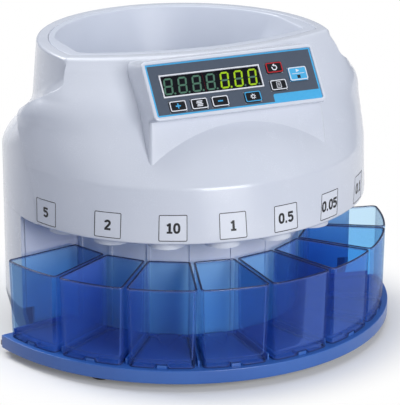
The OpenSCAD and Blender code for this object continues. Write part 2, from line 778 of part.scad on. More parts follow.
module coin_rail() {
    color("gray") at_axis() ring(plate_r, rail_in, plate_top, rail_top);
}

hub_r = 22;
hub_top_r = 10;
hub_h = 10;
shaft_rise = 4;

module coin_disc() {
    color("orange") at_axis() difference() {
        union() {
            translate([0, 0, disc_z]) cylinder(h = disc_t, r = disc_r);
            translate([0, 0, disc_z + disc_t - eps]) cylinder(h = hub_h, r1 = hub_r, r2 = hub_top_r);
        }
        for (k = [0 : pocket_n - 1]) rotate([0, 0, k * 360 / pocket_n])
            translate([0, -coin_circle, disc_z - eps])
            cylinder(h = disc_t + 2 * eps, r = pocket_r);
        translate([0, 0, disc_z - eps]) cylinder(h = disc_t + shaft_rise + 2, r = shaft_r + run);
    }
}

module disc_shaft() {
    low = belt_z - pulley_h / 2 - 2;
    color("silver") at_axis() translate([0, 0, low])
        cylinder(h = disc_z + disc_t + shaft_rise - low, r = shaft_r);
}

flange_out = 2.4;
flange_t = 1.4;

// Flat-belt pulley with two flanges
module pulley(r, bore) {
    translate([0, 0, belt_z - pulley_h / 2]) difference() {
        union() {
            cylinder(h = pulley_h, r = r);
            cylinder(h = flange_t, r = r + flange_out);
            translate([0, 0, pulley_h - flange_t]) cylinder(h = flange_t, r = r + flange_out);
        }
        translate([0, 0, -eps]) cylinder(h = pulley_h + 2 * eps, r = bore);
    }
}

module driven_pulley() {
    color("dimgray") at_axis() pulley(pulley_r, shaft_r + run);
}

motor_shaft_r = 2.5;
shaft_in = 10;
motor_top = belt_z - pulley_h / 2 - 8;
bracket_t = 3;
bracket_foot = 10;

module at_motor() {
    at_axis() translate([0, motor_off, 0]) children();
}

module motor_pulley() {
    color("dimgray") at_motor() pulley(pinion_r, motor_shaft_r + run);
}

module motor_shaft() {
    color("silver") at_motor() translate([0, 0, motor_top - shaft_in])
        cylinder(h = belt_z + pulley_h / 2 + 1 - motor_top + shaft_in, r = motor_shaft_r);
}

module motor() {
    color("gray") at_motor() difference() {
        union() {
            translate([0, 0, motor_top - motor_h]) cylinder(h = motor_h, r = motor_r);
            translate([0, 0, motor_top - motor_h - 3]) cylinder(h = 4, r = motor_r / 3);
        }
        translate([0, 0, motor_top - shaft_in - 1]) cylinder(h = shaft_in + 2, r = motor_shaft_r + run);
    }
}

module motor_bracket() {
    arm = motor_r + 6;
    half = motor_r + 4;
    color("lightgray") at_motor() difference() {
        union() {
            block(-arm, arm, -half, half, motor_top, motor_top + bracket_t);
            for (s = [0, 1]) mirror([s, 0, 0]) {
                block(arm - bracket_t, arm, -half, half, base_top, motor_top + bracket_t);
                block(arm - bracket_t, arm + bracket_foot, -half, half, base_top, base_top + bracket_t);
            }
        }
        translate([0, 0, motor_top - eps]) cylinder(h = bracket_t + 2 * eps, r = motor_shaft_r + 2);
    }
}

// Outline of a belt round both pulleys, as points on two arcs
function belt_pts(grow) = let (lean = asin((pulley_r - pinion_r) / motor_off), n = 40, m = 20) concat(
    [for (k = [0 : n]) let (a = 180 - lean + (180 + 2 * lean) * k / n) (pulley_r + grow) * [cos(a), sin(a)]],
    [for (k = [0 : m]) let (a = lean + (180 - 2 * lean) * k / m)
        (pinion_r + grow) * [cos(a), sin(a)] + [0, motor_off]]);

module drive_belt() {
    color("black") at_axis() translate([0, 0, belt_z - belt_w / 2]) linear_extrude(height = belt_w)
    difference() {
        polygon(belt_pts(slip + belt_t));
        polygon(belt_pts(slip));
    }
}

sensor_w = 10;
sensor_h = 9;
sensor_slot = 3;
sensor_r = chute_mid_r - funnel_r - sensor_w / 2 - 3.5;
sensor_board_w = 17;

module sensor_board() {
    board_out = chute_mid_r - funnel_r - 2;
    color("darkgreen") at_axis() intersection() {
        ring(board_out, board_out - sensor_board_w, deck_top, deck_top + board_t);
        front_wedge(tray_half - 1, deck_top - eps, deck_top + 2 * board_t);
    }
}

module coin_sensors() {
    color("black") at_axis() for (i = [0 : box_n - 1]) rotate([0, 0, box_az(i)])
        translate([0, -sensor_r, deck_top + board_t]) difference() {
            slab(sensor_w, sensor_w, 0, sensor_h);
            slab(sensor_w + 2, sensor_slot, sensor_slot, sensor_h + 1);
        }
}

// Point of the console's side section, as distance ahead of the axis and height, from panel coordinates
function panel_pt(y, z) = [panel_fwd - y * cos(panel_tilt) + z * sin(panel_tilt),
    panel_z + y * sin(panel_tilt) + z * cos(panel_tilt)];

lip_drop = 7;
back_run = 10;
back_fall = 13.5;
back_land = 4;
land_fall = 1;
console_up = 8;
console_back = 10.4;
console_low = 24;

// Side section of the console drawn in by an inset and run across the machine
module console_prism(inset, hw) {
    hollow = inset > 0;
    half = panel_h / 2 + bezel_w - inset;
    rise = hollow ? -overlay_t - panel_t : bezel_h;
    top = panel_pt(half, rise);
    low = panel_pt(-half, rise);
    front = panel_pt(-panel_h / 2 - bezel_w, bezel_h)[0] - lip_drop - inset;
    land = top - (hollow ? [0, 0] : [back_land, land_fall]);
    foot = land - [back_run, back_fall];
    back = rim_front - console_back;
    section = concat([top, low, [front, low[1] - low[0] + front], [front, crease_z + console_up],
        [back, crease_z + console_up], [back, rim_z - console_low], foot], hollow ? [] : [land]);
    at_axis() translate([-hw, 0, 0]) rotate([90, 0, 90]) linear_extrude(height = 2 * hw)
        polygon([for (p = section) [-p[0], p[1]]]);
}

// Body inside the front cover's face, for trimming what stands on it
module cover_body() {
    thin = 0.01;
    at_axis() hull() {
        translate([0, -front_c(crease_z), crease_z]) cylinder(h = thin, r = crease_r + seam);
        translate([0, -front_c(rim_z), rim_z]) cylinder(h = thin, r = rim_front_r + seam);
    }
}

// Openings in the panel plate for the window and the keys, grown by a clearance
module panel_cuts(w, h, z0, z1) {
    translate([window_x, window_y, 0]) slab(w, h, z0, z1);
    for (k = KEYS) translate([k[1], k[2], 0]) slab(k[3] + 2 * slip, k[4] + 2 * slip, z0, z1);
}

post_r = 2.2;
POSTS = [[3 - board_hw, 12], [3 - board_hw, -12], [27.5, 17], [board_hw - 3, -14]];
cut_deep = 6;

module console() {
    color("ghostwhite") difference() {
        console_prism(0, console_hw);
        console_prism(console_wall, console_hw - console_wall);
        cover_body();
        on_panel() {
            slab(panel_w + 2 * slip, panel_h + 2 * slip, -overlay_t, 2 * cut_deep);
            panel_cuts(7 * digit_pitch - 2 * slip, window_h - 2.5, -cut_deep, cut_deep);
        }
    }
    color("ghostwhite") on_panel() for (p = POSTS) translate([p[0], p[1], board_z + board_t])
        cylinder(h = module_t + 2 * run + run, r = post_r);
}

module panel_overlay() {
    color("slategray") on_panel() difference() {
        slab(panel_w, panel_h, -overlay_t, 0);
        panel_cuts(window_w + 2 * slip, window_h + 2 * slip, -2 * overlay_t, overlay_t);
    }
}

module display_window() {
    color("black") on_panel() translate([window_x, window_y, 0]) slab(window_w, window_h, -overlay_t, slip);
}

module_h = 19;
split = 0.1;

module display_modules() {
    color("olivedrab") on_panel() translate([window_x, window_y, board_z + board_t]) {
        block(-3.5 * digit_pitch + split, -digit_pitch / 2 - split, -module_h / 2, module_h / 2, 0, module_t);
        block(-digit_pitch / 2 + split, 3.5 * digit_pitch - split, -module_h / 2, module_h / 2, 0, module_t);
    }
}

module keypad_board() {
    color("darkgreen") on_panel() slab(2 * board_hw, 2 * board_hh, board_z, board_z + board_t);
}

switch_w = 6;
switch_h = 4.2;
plunger_r = 1.7;
plunger_h = 1;
key_low = board_z + board_t + switch_h + key_travel + 2 * run;

module key_switches() {
    color("black") on_panel() for (k = KEYS) translate([k[1], k[2], board_z + board_t]) {
        slab(switch_w, switch_w, 0, switch_h - plunger_h);
        translate([0, 0, switch_h - plunger_h - eps]) cylinder(h = plunger_h + eps, r = plunger_r);
    }
}

key_flange = 0.8;
flange_gap = 0.3;
flange_low = 1.4;
stem_w = 5;
stem_h = 3;

module keycap(i) {
    k = KEYS[i];
    under = -overlay_t - panel_t;
    color("black") on_panel() translate([k[1], k[2], 0]) {
        slab(k[3], k[4], key_low + stem_h - 1, key_rise);
        slab(k[3] + 2 * key_flange, k[4], under - flange_low, under - flange_gap);
        slab(stem_w, stem_w, key_low, key_low + stem_h);
    }
}

module key_plus() {
    keycap(0);
}

module key_count() {
    keycap(1);
}

module key_minus() {
    keycap(2);
}

module key_set() {
    keycap(3);
}

module key_reset() {
    keycap(4);
}

module key_report() {
    keycap(5);
}

module key_start_stop() {
    keycap(6);
}

// Electronics on the base plate, left and right of the motor
board_up = 6;
board_foot_r = 3;
bay_room = bay_r - 12;
MAIN = [-bay_room, -32, -10, 76];
SUPPLY = [40, bay_room - 4, 14, 70];
supply_h = 38;
supply_foot = 4;
vent_slot = 4;

module main_board() {
    z = base_top + board_up;
    inset = 5;
    color("darkgreen") at_axis() {
        block(MAIN[0], MAIN[1], MAIN[2], MAIN[3], z, z + board_t);
        for (x = [MAIN[0] + inset, MAIN[1] - inset]) for (y = [MAIN[2] + inset, MAIN[3] - inset])
            translate([x, y, base_top]) cylinder(h = board_up + 2 * run, r = board_foot_r);
    }
}

// Parts on the main board: corner, width, depth and height, then the row of capacitors
PARTS = [[20, 30, 14, 14, 3], [4, 10, 8, 40, 10], [40, 60, 12, 18, 14]];
cap_x = 48;
CAP_Y = [8, 20, 32];
cap_r = 5;
cap_h = 18;

module board_parts() {
    z = base_top + board_up + board_t;
    color("black") at_axis() translate([MAIN[0], MAIN[2], z]) {
        for (p = PARTS) block(p[0], p[0] + p[2], p[1], p[1] + p[3], 0, p[4]);
        for (y = CAP_Y) translate([cap_x, y, 0]) cylinder(h = cap_h, r = cap_r);
    }
}

module power_supply() {
    color("silver") at_axis() difference() {
        union() {
            block(SUPPLY[0] - supply_foot, SUPPLY[1] + supply_foot, SUPPLY[2] - supply_foot,
                SUPPLY[3] + supply_foot, base_top, base_top + 2);
            block(SUPPLY[0], SUPPLY[1], SUPPLY[2], SUPPLY[3], base_top, base_top + supply_h);
        }
        for (y = [SUPPLY[2] + 6 : 2.5 * vent_slot : SUPPLY[3] - 6])
            block(SUPPLY[0] - 1, SUPPLY[1] + 1, y, y + vent_slot, base_top + supply_h - 8,
                base_top + supply_h + 1);
    }
}

// Outline of a coin box seen from above: a front arc, rounded corners and straight sides
side_dir = [sin(box_pitch / 2), -cos(box_pitch / 2)];
side_out = [-side_dir[1], side_dir[0]];

function corner_mid(inset, rc) = let (p = [box_back_hw, -box_back_r] - (inset + rc) * side_out,
    b = p * side_dir, k = box_front_r - inset - rc) p + (sqrt(b * b - p * p + k * k) - b) * side_dir;

corner_steps = 6;
arc_steps = 8;

function box_pts(inset) = let (rc = max(box_corner - inset, 1), c = corner_mid(inset, rc),
    a2 = atan2(c[1], c[0]), a1 = atan2(side_out[1], side_out[0]),
    p = [box_back_hw, -box_back_r] - inset * side_out,
    q = p + ((-box_back_r - inset - p[1]) / side_dir[1]) * side_dir,
    right = concat([for (k = [0 : corner_steps]) let (a = mix(a2, a1, k / corner_steps))
        c + rc * [cos(a), sin(a)]], [q]),
    left = [for (k = [len(right) - 1 : -1 : 0]) [-right[k][0], right[k][1]]],
    arc = [for (k = [1 : arc_steps - 1]) let (a = mix(-180 - a2, a2, k / arc_steps))
        (box_front_r - inset) * [cos(a), sin(a)]])
    [for (v = concat(right, left, arc)) v + [0, box_mid]];

// Share of the rim's width and length that a box keeps at its bottom
box_draft = [0.935, 0.985];

// Drafted solid between two scaled copies of the box outline
module box_solid(inset, z0, z1) {
    outline = box_pts(inset);
    n = len(outline);
    points = [for (z = [z0, z1]) let (t = z / box_h, sx = mix(box_draft[0], 1, t),
        sy = mix(box_draft[1], 1, t))
        for (p = outline) [p[0] * sx, p[1] * sy - box_mid, z]];
    sides = [for (k = [0 : n - 1]) let (l = (k + 1) % n) for (f = [[k, k + n, l + n], [k, l + n, l]]) f];
    ends = [[for (k = [0 : n - 1]) k], [for (k = [2 * n - 1 : -1 : n]) k]];
    polyhedron(points = points, faces = concat(sides, ends), convexity = 2);
}

skirt_wall = 1.5;
skirt_front = 12;
floor_t = 2;
thin = 0.01;

module coin_box(i) {
    slot_hw = box_back_hw - 5;
    color("dodgerblue", 0.6) at_box(i) translate([0, 0, tray_top]) difference() {
        box_solid(0, 0, box_h);
        box_solid(box_wall, box_skirt + floor_t, box_h + thin);
        intersection() {
            box_solid(box_wall + skirt_wall, -thin, box_skirt);
            block(-box_front_r, box_front_r, skirt_front - box_front_r, 0, -1, box_skirt);
        }
        block(-slot_hw, slot_hw, -box_back_r - 10, 5 - box_back_r, -1, box_skirt);
        block(-notch_w / 2, notch_w / 2, -box_front_r - 5, skirt_front + 2 - box_front_r, -1, box_skirt);
    }
}

module coin_box_1() {
    coin_box(0);
}

module coin_box_2() {
    coin_box(1);
}

module coin_box_3() {
    coin_box(2);
}

module coin_box_4() {
    coin_box(3);
}

module coin_box_5() {
    coin_box(4);
}

module coin_box_6() {
    coin_box(5);
}

module coin_box_7() {
    coin_box(6);
}

module coin_box_8() {
    coin_box(7);
}

base_pan();
rubber_feet();
coin_tray();
bay_wall();
rear_column();
rear_shell();
front_cover();
console();
hopper_bowl();
chute_deck();
coin_chutes_left();
coin_chutes_right();
sorting_plate();
coin_rail();
coin_disc();
disc_shaft();
shaft_bearings();
driven_pulley();
drive_belt();
motor_pulley();
motor_shaft();
motor();
motor_bracket();
sensor_board();
coin_sensors();
panel_overlay();
display_window();
display_modules();
keypad_board();
key_switches();
key_plus();
key_count();
key_minus();
key_set();
key_reset();
key_report();
key_start_stop();
main_board();
board_parts();
power_supply();
rear_panel();
power_inlet();
inlet_pins();
switch_body();
switch_rocker();
fuse_holder();
base_screws();
rear_screws();
coin_box_1();
coin_box_2();
coin_box_3();
coin_box_4();
coin_box_5();
coin_box_6();
coin_box_7();
coin_box_8();
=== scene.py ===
import math

import bpy
import numpy as np
from mathutils import Matrix, Vector


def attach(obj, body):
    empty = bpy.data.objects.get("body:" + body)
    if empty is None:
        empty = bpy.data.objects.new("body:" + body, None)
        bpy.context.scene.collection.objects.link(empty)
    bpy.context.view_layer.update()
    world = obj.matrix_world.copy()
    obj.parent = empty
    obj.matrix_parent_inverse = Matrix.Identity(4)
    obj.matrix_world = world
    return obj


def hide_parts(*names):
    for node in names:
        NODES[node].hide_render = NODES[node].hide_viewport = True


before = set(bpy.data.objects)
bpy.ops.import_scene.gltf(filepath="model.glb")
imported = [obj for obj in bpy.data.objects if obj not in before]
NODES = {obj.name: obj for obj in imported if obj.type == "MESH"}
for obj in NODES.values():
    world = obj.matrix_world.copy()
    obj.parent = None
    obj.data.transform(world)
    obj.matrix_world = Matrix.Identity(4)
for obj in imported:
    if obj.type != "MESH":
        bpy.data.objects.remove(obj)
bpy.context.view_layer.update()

# Sizes of the machine in millimetres: x to the right, u ahead of the disc's axis, z up
AXIS_Y = 17.5
BAND_Z, CREASE_Z, RIM_Z = 117.0, 162.0, 254.0
BACK_U, BACK_R = 9.0, 158.0
HOPPER_R, LENS_R, LENS_U = 126.7, 260.7, -190.3
RIM_ROLL, RIM_W, COVER_WALL, SHELL_WALL = 3.0, 10.1, 3.2, 4.2
TRAY_TOP, TRAY_LOW, TRAY_R, TRAY_IN, TRAY_HALF = 18.0, 6.6, 184.0, 104.4, math.radians(79.5)
BOX_N, BOX_PITCH, BOX_GAP = 8, math.radians(19.58), 2.2
BOX_H, BOX_SKIRT, BOX_WALL, BOX_CORNER, BOX_BACK_CORNER = 68.0, 3.4, 2.0, 4.6, 2.6
BOX_BACK, BOX_FRONT, BOX_MID = 110.3, 180.0, 145.15
PANEL_U, PANEL_Z, PANEL_TILT = 106.8, 236.8, math.radians(54)
PANEL_HX, PANEL_HY, PANEL_CORNER, FILM_HX, FILM_HY = 78.0, 25.8, 4.5, 74.8, 22.8
WINDOW_X, WINDOW_Y, WINDOW_HX, DIGIT_PITCH = -20.0, 3.0, 43.9, 12.57
KEY_W, KEY_H, SIGN_LOW, SIGN_TOP = 15.0, 9.4, 0.88, 0.95
LABEL_Z, LABEL_HX, LABEL_HY = 130.8, 11.5, 10.7

# Front cover's circle and front point: at the band's foot, then their change up the band and up the slope
ARC_RADIUS, ARC_REACH = (171.2, 4.6, 84.9), (156.6, -8.8, -77.4)

# Rear shell: lean of the hopper's wall, then the shoulder's height, rise, radius and slope
WALL_LEAN, SHOULDER_Z, SHOULDER_RISE, SHOULDER_R, SHOULDER_SLOPE = 0.085, 215.0, 0.45, 137.0, 1.1

# Beside the seam the shoulder lies lower: the step, the angle from the front where it ends, and its fade
SHOULDER_STEP, STEP_END, STEP_FADE = 9.0, 2.06, 0.44

# Where the seam crosses the shoulder: its height and half width
SEAM_Z, SEAM_H = 218.0, 15.0


# Mesh work

def metres(p):
    """Machine millimetres as metres in the CAD frame: Y is the axis's place less u."""
    p = np.asarray(p, float)
    return np.stack([p[..., 0], AXIS_Y - p[..., 1], p[..., 2]], -1) / 1000


def on_panel(p):
    """Panel millimetres (across, up the slope, out of the face) as machine ones: a turn by the tilt."""
    p = np.asarray(p, float)
    c, s = math.cos(PANEL_TILT), math.sin(PANEL_TILT)
    return np.stack([p[..., 0], PANEL_U - p[..., 1] * c + p[..., 2] * s,
                     PANEL_Z + p[..., 1] * s + p[..., 2] * c], -1)


def quads(rows, cols, wrap_rows, wrap_cols):
    """Faces of a grid of points, closed round its rows or columns where asked."""
    i = np.arange(rows if wrap_rows else rows - 1)[:, None]
    j = np.arange(cols if wrap_cols else cols - 1)[None]
    i2, j2 = (i + 1) % rows, (j + 1) % cols
    corners = np.broadcast_arrays(i * cols + j, i2 * cols + j, i2 * cols + j2, i * cols + j2)
    return np.stack(corners, -1).reshape(-1, 4)


def outward(points, faces):
    """A closed skin in metres, turned over where its signed volume comes out negative."""
    points = metres(points)
    volume = 0.0
    for f in faces:
        for k in range(1, f.shape[1] - 1):
            volume += np.sum(points[f[:, 0]] * np.cross(points[f[:, k]], points[f[:, k + 1]]))
    return points, faces if volume > 0 else [f[:, ::-1] for f in faces]


def ring(p):
    """Closed skin of a grid that wraps both ways."""
    rows, cols = p.shape[:2]
    return outward(p.reshape(-1, 3), [quads(rows, cols, True, True)])


def loft(p):
    """Closed skin of a chain of closed outlines, each end filled by a fan round its middle."""
    rows, n = p.shape[:2]
    points = np.concatenate([p.reshape(-1, 3), p[:1].mean(1), p[-1:].mean(1)])
    j = np.arange(n)
    k = (j + 1) % n
    low = np.stack([np.full(n, rows * n), j, k], -1)
    high = np.stack([np.full(n, rows * n + 1), (rows - 1) * n + k, (rows - 1) * n + j], -1)
    return outward(points, [quads(rows, n, False, True), low, high])


def shell(outer, inner, closed):
    """Closed skin between an outer and an inner grid of the same size; open columns get an end strip."""
    m, n = outer.shape[:2]
    faces = [quads(2 * m, n, True, closed)]
    if not closed:
        k = np.arange(m - 1)
        for j in (0, n - 1):
            far = 2 * m - 1 - k
            strip = np.stack([k * n + j, (k + 1) * n + j, (far - 1) * n + j, far * n + j], -1)
            faces.append(strip if j else strip[:, ::-1])
    return outward(np.concatenate([outer, inner[::-1]]).reshape(-1, 3), faces)


def piece(name, skins, material, body, replaces=(), sharp=40):
    """One object from closed skins, smooth but for edges steeper than an angle, riding a body."""
    points = np.concatenate([s[0] for s in skins])
    starts = np.cumsum([0] + [len(s[0]) for s in skins])
    faces = [f + start for s, start in zip(skins, starts) for f in s[1]]
    sizes = np.concatenate([np.full(len(f), f.shape[1]) for f in faces])
    corners = np.concatenate([f.ravel() for f in faces])
    mesh = bpy.data.meshes.new(name)
    mesh.vertices.add(len(points))
    mesh.vertices.foreach_set("co", points.astype(np.float32).ravel())
    mesh.loops.add(len(corners))
    mesh.loops.foreach_set("vertex_index", corners.astype(np.int32))
    mesh.polygons.add(len(sizes))
    mesh.polygons.foreach_set("loop_start", np.concatenate([[0], np.cumsum(sizes)[:-1]]).astype(np.int32))
    mesh.polygons.foreach_set("use_smooth", np.ones(len(sizes), bool))
    mesh.update(calc_edges=True)
    mesh.validate()
    mesh.set_sharp_from_angle(angle=math.radians(sharp))
    mesh.materials.append(material)
    obj = bpy.data.objects.new(name, mesh)
    bpy.context.scene.collection.objects.link(obj)
    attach(obj, body)
    if replaces:
        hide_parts(*replaces)
    return obj


def mix(a, b, t):
    """Value the share t of the way from a to b."""
    return a + (b - a) * t


def soft_max(a, b, k):
    """Larger of two values with a rounded corner of width k: the overlap's square is added."""
    h = np.maximum(k - np.abs(a - b), 0) / k
    return np.maximum(a, b) + h * h * k / 4


def soft_min(a, b, k):
    """Smaller of two values with the same rounded corner."""
    return -soft_max(-a, -b, k)


def bend(a, b, c, n):
    """Points of a quadratic curve from a to c that leaves and arrives along the lines to b."""
    t = np.linspace(0, 1, n + 1)[:, None]
    a, b, c = (np.asarray(v, float) for v in (a, b, c))
    return (1 - t) ** 2 * a + 2 * t * (1 - t) * b + t ** 2 * c


def line(a, b, n):
    """Points from a to b with both ends left out."""
    t = np.linspace(0, 1, n + 2)[1:-1, None]
    return mix(np.asarray(a, float), np.asarray(b, float), t)


def round_rect(hx, hy, r, steps, side):
    """Outline of a rounded rectangle and its outward directions: straight runs and quarter turns."""
    r = np.minimum(r, np.minimum(hx, hy) - 1e-3)
    quarter = np.linspace(0, math.pi / 2, steps + 1)
    centres = np.array([(1, 1), (-1, 1), (-1, -1), (1, -1)]) * (hx - r, hy - r)
    out, way = [], []
    for k, centre in enumerate(centres):
        a = quarter + k * math.pi / 2
        n = np.stack([np.cos(a), np.sin(a)], -1)
        turn = centre + r * n
        out += [turn, line(turn[-1], centres[(k + 1) % 4] + r * n[-1], side)]
        way += [n, np.repeat(n[-1:], side, 0)]
    return np.concatenate(out), np.concatenate(way)


def heights(outline, z):
    """A flat outline lifted to a height."""
    return np.concatenate([outline, np.full((len(outline), 1), z)], -1)


def turned(p, az):
    """Points (across, ahead, up) turned about the disc's axis to an azimuth."""
    c, s = math.cos(az), math.sin(az)
    return np.stack([p[..., 0] * c + p[..., 1] * s, p[..., 1] * c - p[..., 0] * s, p[..., 2]], -1)


# Shader work

class Wire:
    """A node's output; arithmetic on it adds Math nodes to its material."""

    def __init__(self, paint, socket):
        self.paint, self.socket = paint, socket

    def math(self, kind, a, b=0.0):
        return self.paint.node("ShaderNodeMath", {"operation": kind}, {0: a, 1: b})

    def __add__(self, other):
        return self.math("ADD", self, other)

    def __radd__(self, other):
        return self.math("ADD", other, self)

    def __sub__(self, other):
        return self.math("SUBTRACT", self, other)

    def __rsub__(self, other):
        return self.math("SUBTRACT", other, self)

    def __mul__(self, other):
        return self.math("MULTIPLY", self, other)

    def __rmul__(self, other):
        return self.math("MULTIPLY", other, self)

    def __pow__(self, other):
        return self.math("POWER", self, other)

    def __abs__(self):
        return self.math("ABSOLUTE", self)

    def least(self, other):
        return self.math("MINIMUM", self, other)

    def most(self, other):
        return self.math("MAXIMUM", self, other)

    def step(self, edge, soft):
        """0 below an edge and 1 above it, with a smooth change of a given half width."""
        return self.paint.node("ShaderNodeMapRange", {"interpolation_type": "SMOOTHSTEP"},
                               {"Value": self, "From Min": edge - soft, "From Max": edge + soft})


class Paint:
    """One material and its node tree."""

    def __init__(self, name):
        self.material = bpy.data.materials.new(name)
        self.material.use_nodes = True
        self.tree = self.material.node_tree
        self.tree.nodes.clear()

    def node(self, kind, settings=None, sockets=None, out=0):
        """Any node: its settings first, then the values or links of its sockets."""
        n = self.tree.nodes.new(kind)
        for key, value in (settings or {}).items():
            setattr(n, key, value)
        for key, value in (sockets or {}).items():
            if isinstance(value, Wire):
                self.tree.links.new(value.socket, n.inputs[key])
            else:
                n.inputs[key].default_value = value
        return Wire(self, n.outputs[out]) if len(n.outputs) else None

    def coords(self):
        return self.node("ShaderNodeTexCoord", out="Object")

    def noise(self, scale, detail=2.0, stretch=(1, 1, 1)):
        """Noise on Object coordinates; scale is in waves per metre."""
        where = self.node("ShaderNodeMapping", {}, {"Vector": self.coords(), "Scale": stretch})
        return self.node("ShaderNodeTexNoise", {}, {"Vector": where, "Scale": scale, "Detail": detail})

    def blend(self, factor, a, b):
        """Colour between a and b."""
        return self.node("ShaderNodeMix", {"data_type": "RGBA"}, {0: factor, 6: a, 7: b}, out=2)

    def bump(self, height, distance):
        return self.node("ShaderNodeBump", {}, {"Height": height, "Distance": distance, "Strength": 1.0})

    def principled(self, **sockets):
        names = {key.replace("_", " ").title().replace("Ior", "IOR"): v for key, v in sockets.items()}
        return self.node("ShaderNodeBsdfPrincipled", {}, names)

    def finish(self, shader):
        self.node("ShaderNodeOutputMaterial", {}, {"Surface": shader})
        return self.material


def tone(r, g, b):
    """A screen colour, 0 to 255, as linear values."""
    c = np.array([r, g, b]) / 255
    return (*np.where(c <= 0.04045, c / 12.92, ((c + 0.055) / 1.055) ** 2.4), 1.0)


def moulded(name, light, dark, rough, grain=0.00004, grain_scale=1500, coat=0.0, wear=0.15):
    """Moulded plastic: slow colour drift, a fine grain in the height and uneven gloss."""
    p = Paint(name)
    drift = p.noise(14, 3)
    fine = p.noise(grain_scale, 2)
    colour = p.blend(drift.step(0.5, 0.35), dark, light)
    gloss = rough + wear * (p.noise(60, 4) - 0.5) + 0.08 * (fine - 0.5)
    return p.finish(p.principled(base_color=colour, roughness=gloss, coat_weight=coat, coat_roughness=0.12,
                                 normal=p.bump(fine, grain)))


def metal(name, light, dark, rough, along=(1, 1, 1)):
    """Brushed or cast metal: stretched streaks in colour, gloss and height."""
    p = Paint(name)
    streak = p.noise(900, 3, along)
    stain = p.noise(35, 4)
    colour = p.blend(streak * 0.6 + stain * 0.4, dark, light)
    return p.finish(p.principled(base_color=colour, metallic=1.0, roughness=rough + 0.2 * (streak - 0.5),
                                 normal=p.bump(streak, 0.00003)))


def circuit(name, field, line_colour):
    """Circuit board: solder resist with traces from a stepped cell pattern."""
    p = Paint(name)
    cells = p.node("ShaderNodeTexVoronoi", {"distance": "MANHATTAN"}, {"Vector": p.coords(), "Scale": 260.0})
    trace = cells.step(0.42, 0.02)
    colour = p.blend(trace, field, line_colour)
    return p.finish(p.principled(base_color=colour, roughness=0.35 + 0.15 * trace,
                                 normal=p.bump(trace, 0.00005)))


def ink(name, colour, shade, rough=0.4):
    """Printed ink: a slight unevenness of cover and gloss."""
    p = Paint(name)
    cover = p.noise(700, 3)
    return p.finish(p.principled(base_color=p.blend(cover, shade, colour),
                                 roughness=rough + 0.12 * (cover - 0.5)))


def lamp(name, colour, shade, strength):
    """Glowing bar of a digit: two close colours mixed by noise. The unlit bars use it too, as a painted glow.
    """
    p = Paint(name)
    glow = p.blend(p.noise(500, 1), shade, colour)
    return p.finish(p.principled(base_color=(0.02, 0.03, 0.02, 1), roughness=0.5, emission_color=glow,
                                 emission_strength=strength))


COVER = moulded("cover_plastic", tone(224, 228, 237), tone(216, 221, 232), 0.26, coat=0.35, wear=0.06)
HOPPER = moulded("hopper_plastic", tone(216, 221, 232), tone(206, 212, 225), 0.36, coat=0.15, wear=0.14)
BAY = moulded("bay_plastic", tone(224, 229, 242), tone(214, 220, 236), 0.38)
DECK = moulded("deck_plastic", tone(226, 230, 238), tone(214, 219, 230), 0.34)
TRAY = moulded("tray_plastic", tone(66, 116, 196), tone(56, 102, 182), 0.34, coat=0.2, wear=0.08)
BASE = moulded("base_plastic", tone(142, 146, 156), tone(128, 132, 143), 0.5)
RUBBER = moulded("foot_rubber", tone(26, 26, 28), tone(16, 16, 18), 0.72, grain=0.00012, grain_scale=2200)
BLACK = moulded("black_plastic", tone(30, 31, 35), tone(20, 21, 24), 0.42)
DISC = moulded("disc_plastic", tone(206, 208, 210), tone(190, 192, 196), 0.4)
ROCKER = moulded("rocker_plastic", tone(176, 26, 30), tone(146, 18, 24), 0.3, coat=0.3)
CAP = moulded("key_plastic", tone(20, 21, 26), tone(13, 14, 18), 0.35)
START = moulded("start_plastic", tone(84, 184, 232), tone(74, 172, 224), 0.35)
STEEL = metal("plate_steel", tone(196, 199, 203), tone(160, 164, 170), 0.32, (1, 12, 1))
ZINC = metal("zinc_finish", tone(204, 204, 198), tone(168, 169, 166), 0.36)
MOTOR = metal("motor_can", tone(150, 153, 158), tone(112, 115, 120), 0.38, (1, 1, 14))
BOARD = circuit("board_resist", tone(18, 84, 48), tone(36, 122, 70))
MODULE = moulded("module_face", tone(34, 36, 42), tone(26, 28, 34), 0.5)
INK_WHITE = ink("ink_white", tone(236, 239, 244), tone(222, 226, 234))
INK_BLUE = ink("ink_blue", tone(78, 180, 232), tone(66, 166, 220))
INK_RED = ink("ink_red", tone(204, 30, 42), tone(184, 22, 36))
INK_BLACK = ink("ink_black", tone(22, 22, 28), tone(12, 12, 18), 0.5)
LABEL = ink("label_film", tone(232, 235, 242), tone(226, 230, 239), 0.45)
LIT = lamp("digit_lit", (0.62, 0.95, 0.02, 1), (0.50, 0.86, 0.01, 1), 1.3)
# Unlit bars of the display: a faint painted glow, though they give no light.
UNLIT_GLOW = lamp("digit_unlit_glow", (0.18, 0.40, 0.27, 1), (0.14, 0.33, 0.22, 1), 1.0)


def panel_place(p):
    """Object coordinates as panel millimetres: the inverse of the panel's shift, turn and scale."""
    local = p.node("ShaderNodeMapping", {"vector_type": "TEXTURE"},
                   {"Vector": p.coords(), "Location": (0, (AXIS_Y - PANEL_U) / 1000, PANEL_Z / 1000),
                    "Rotation": (PANEL_TILT, 0, 0), "Scale": (0.001, 0.001, 0.001)})
    split = p.node("ShaderNodeSeparateXYZ", {}, {0: local})
    return split, Wire(p, split.socket.node.outputs[1])


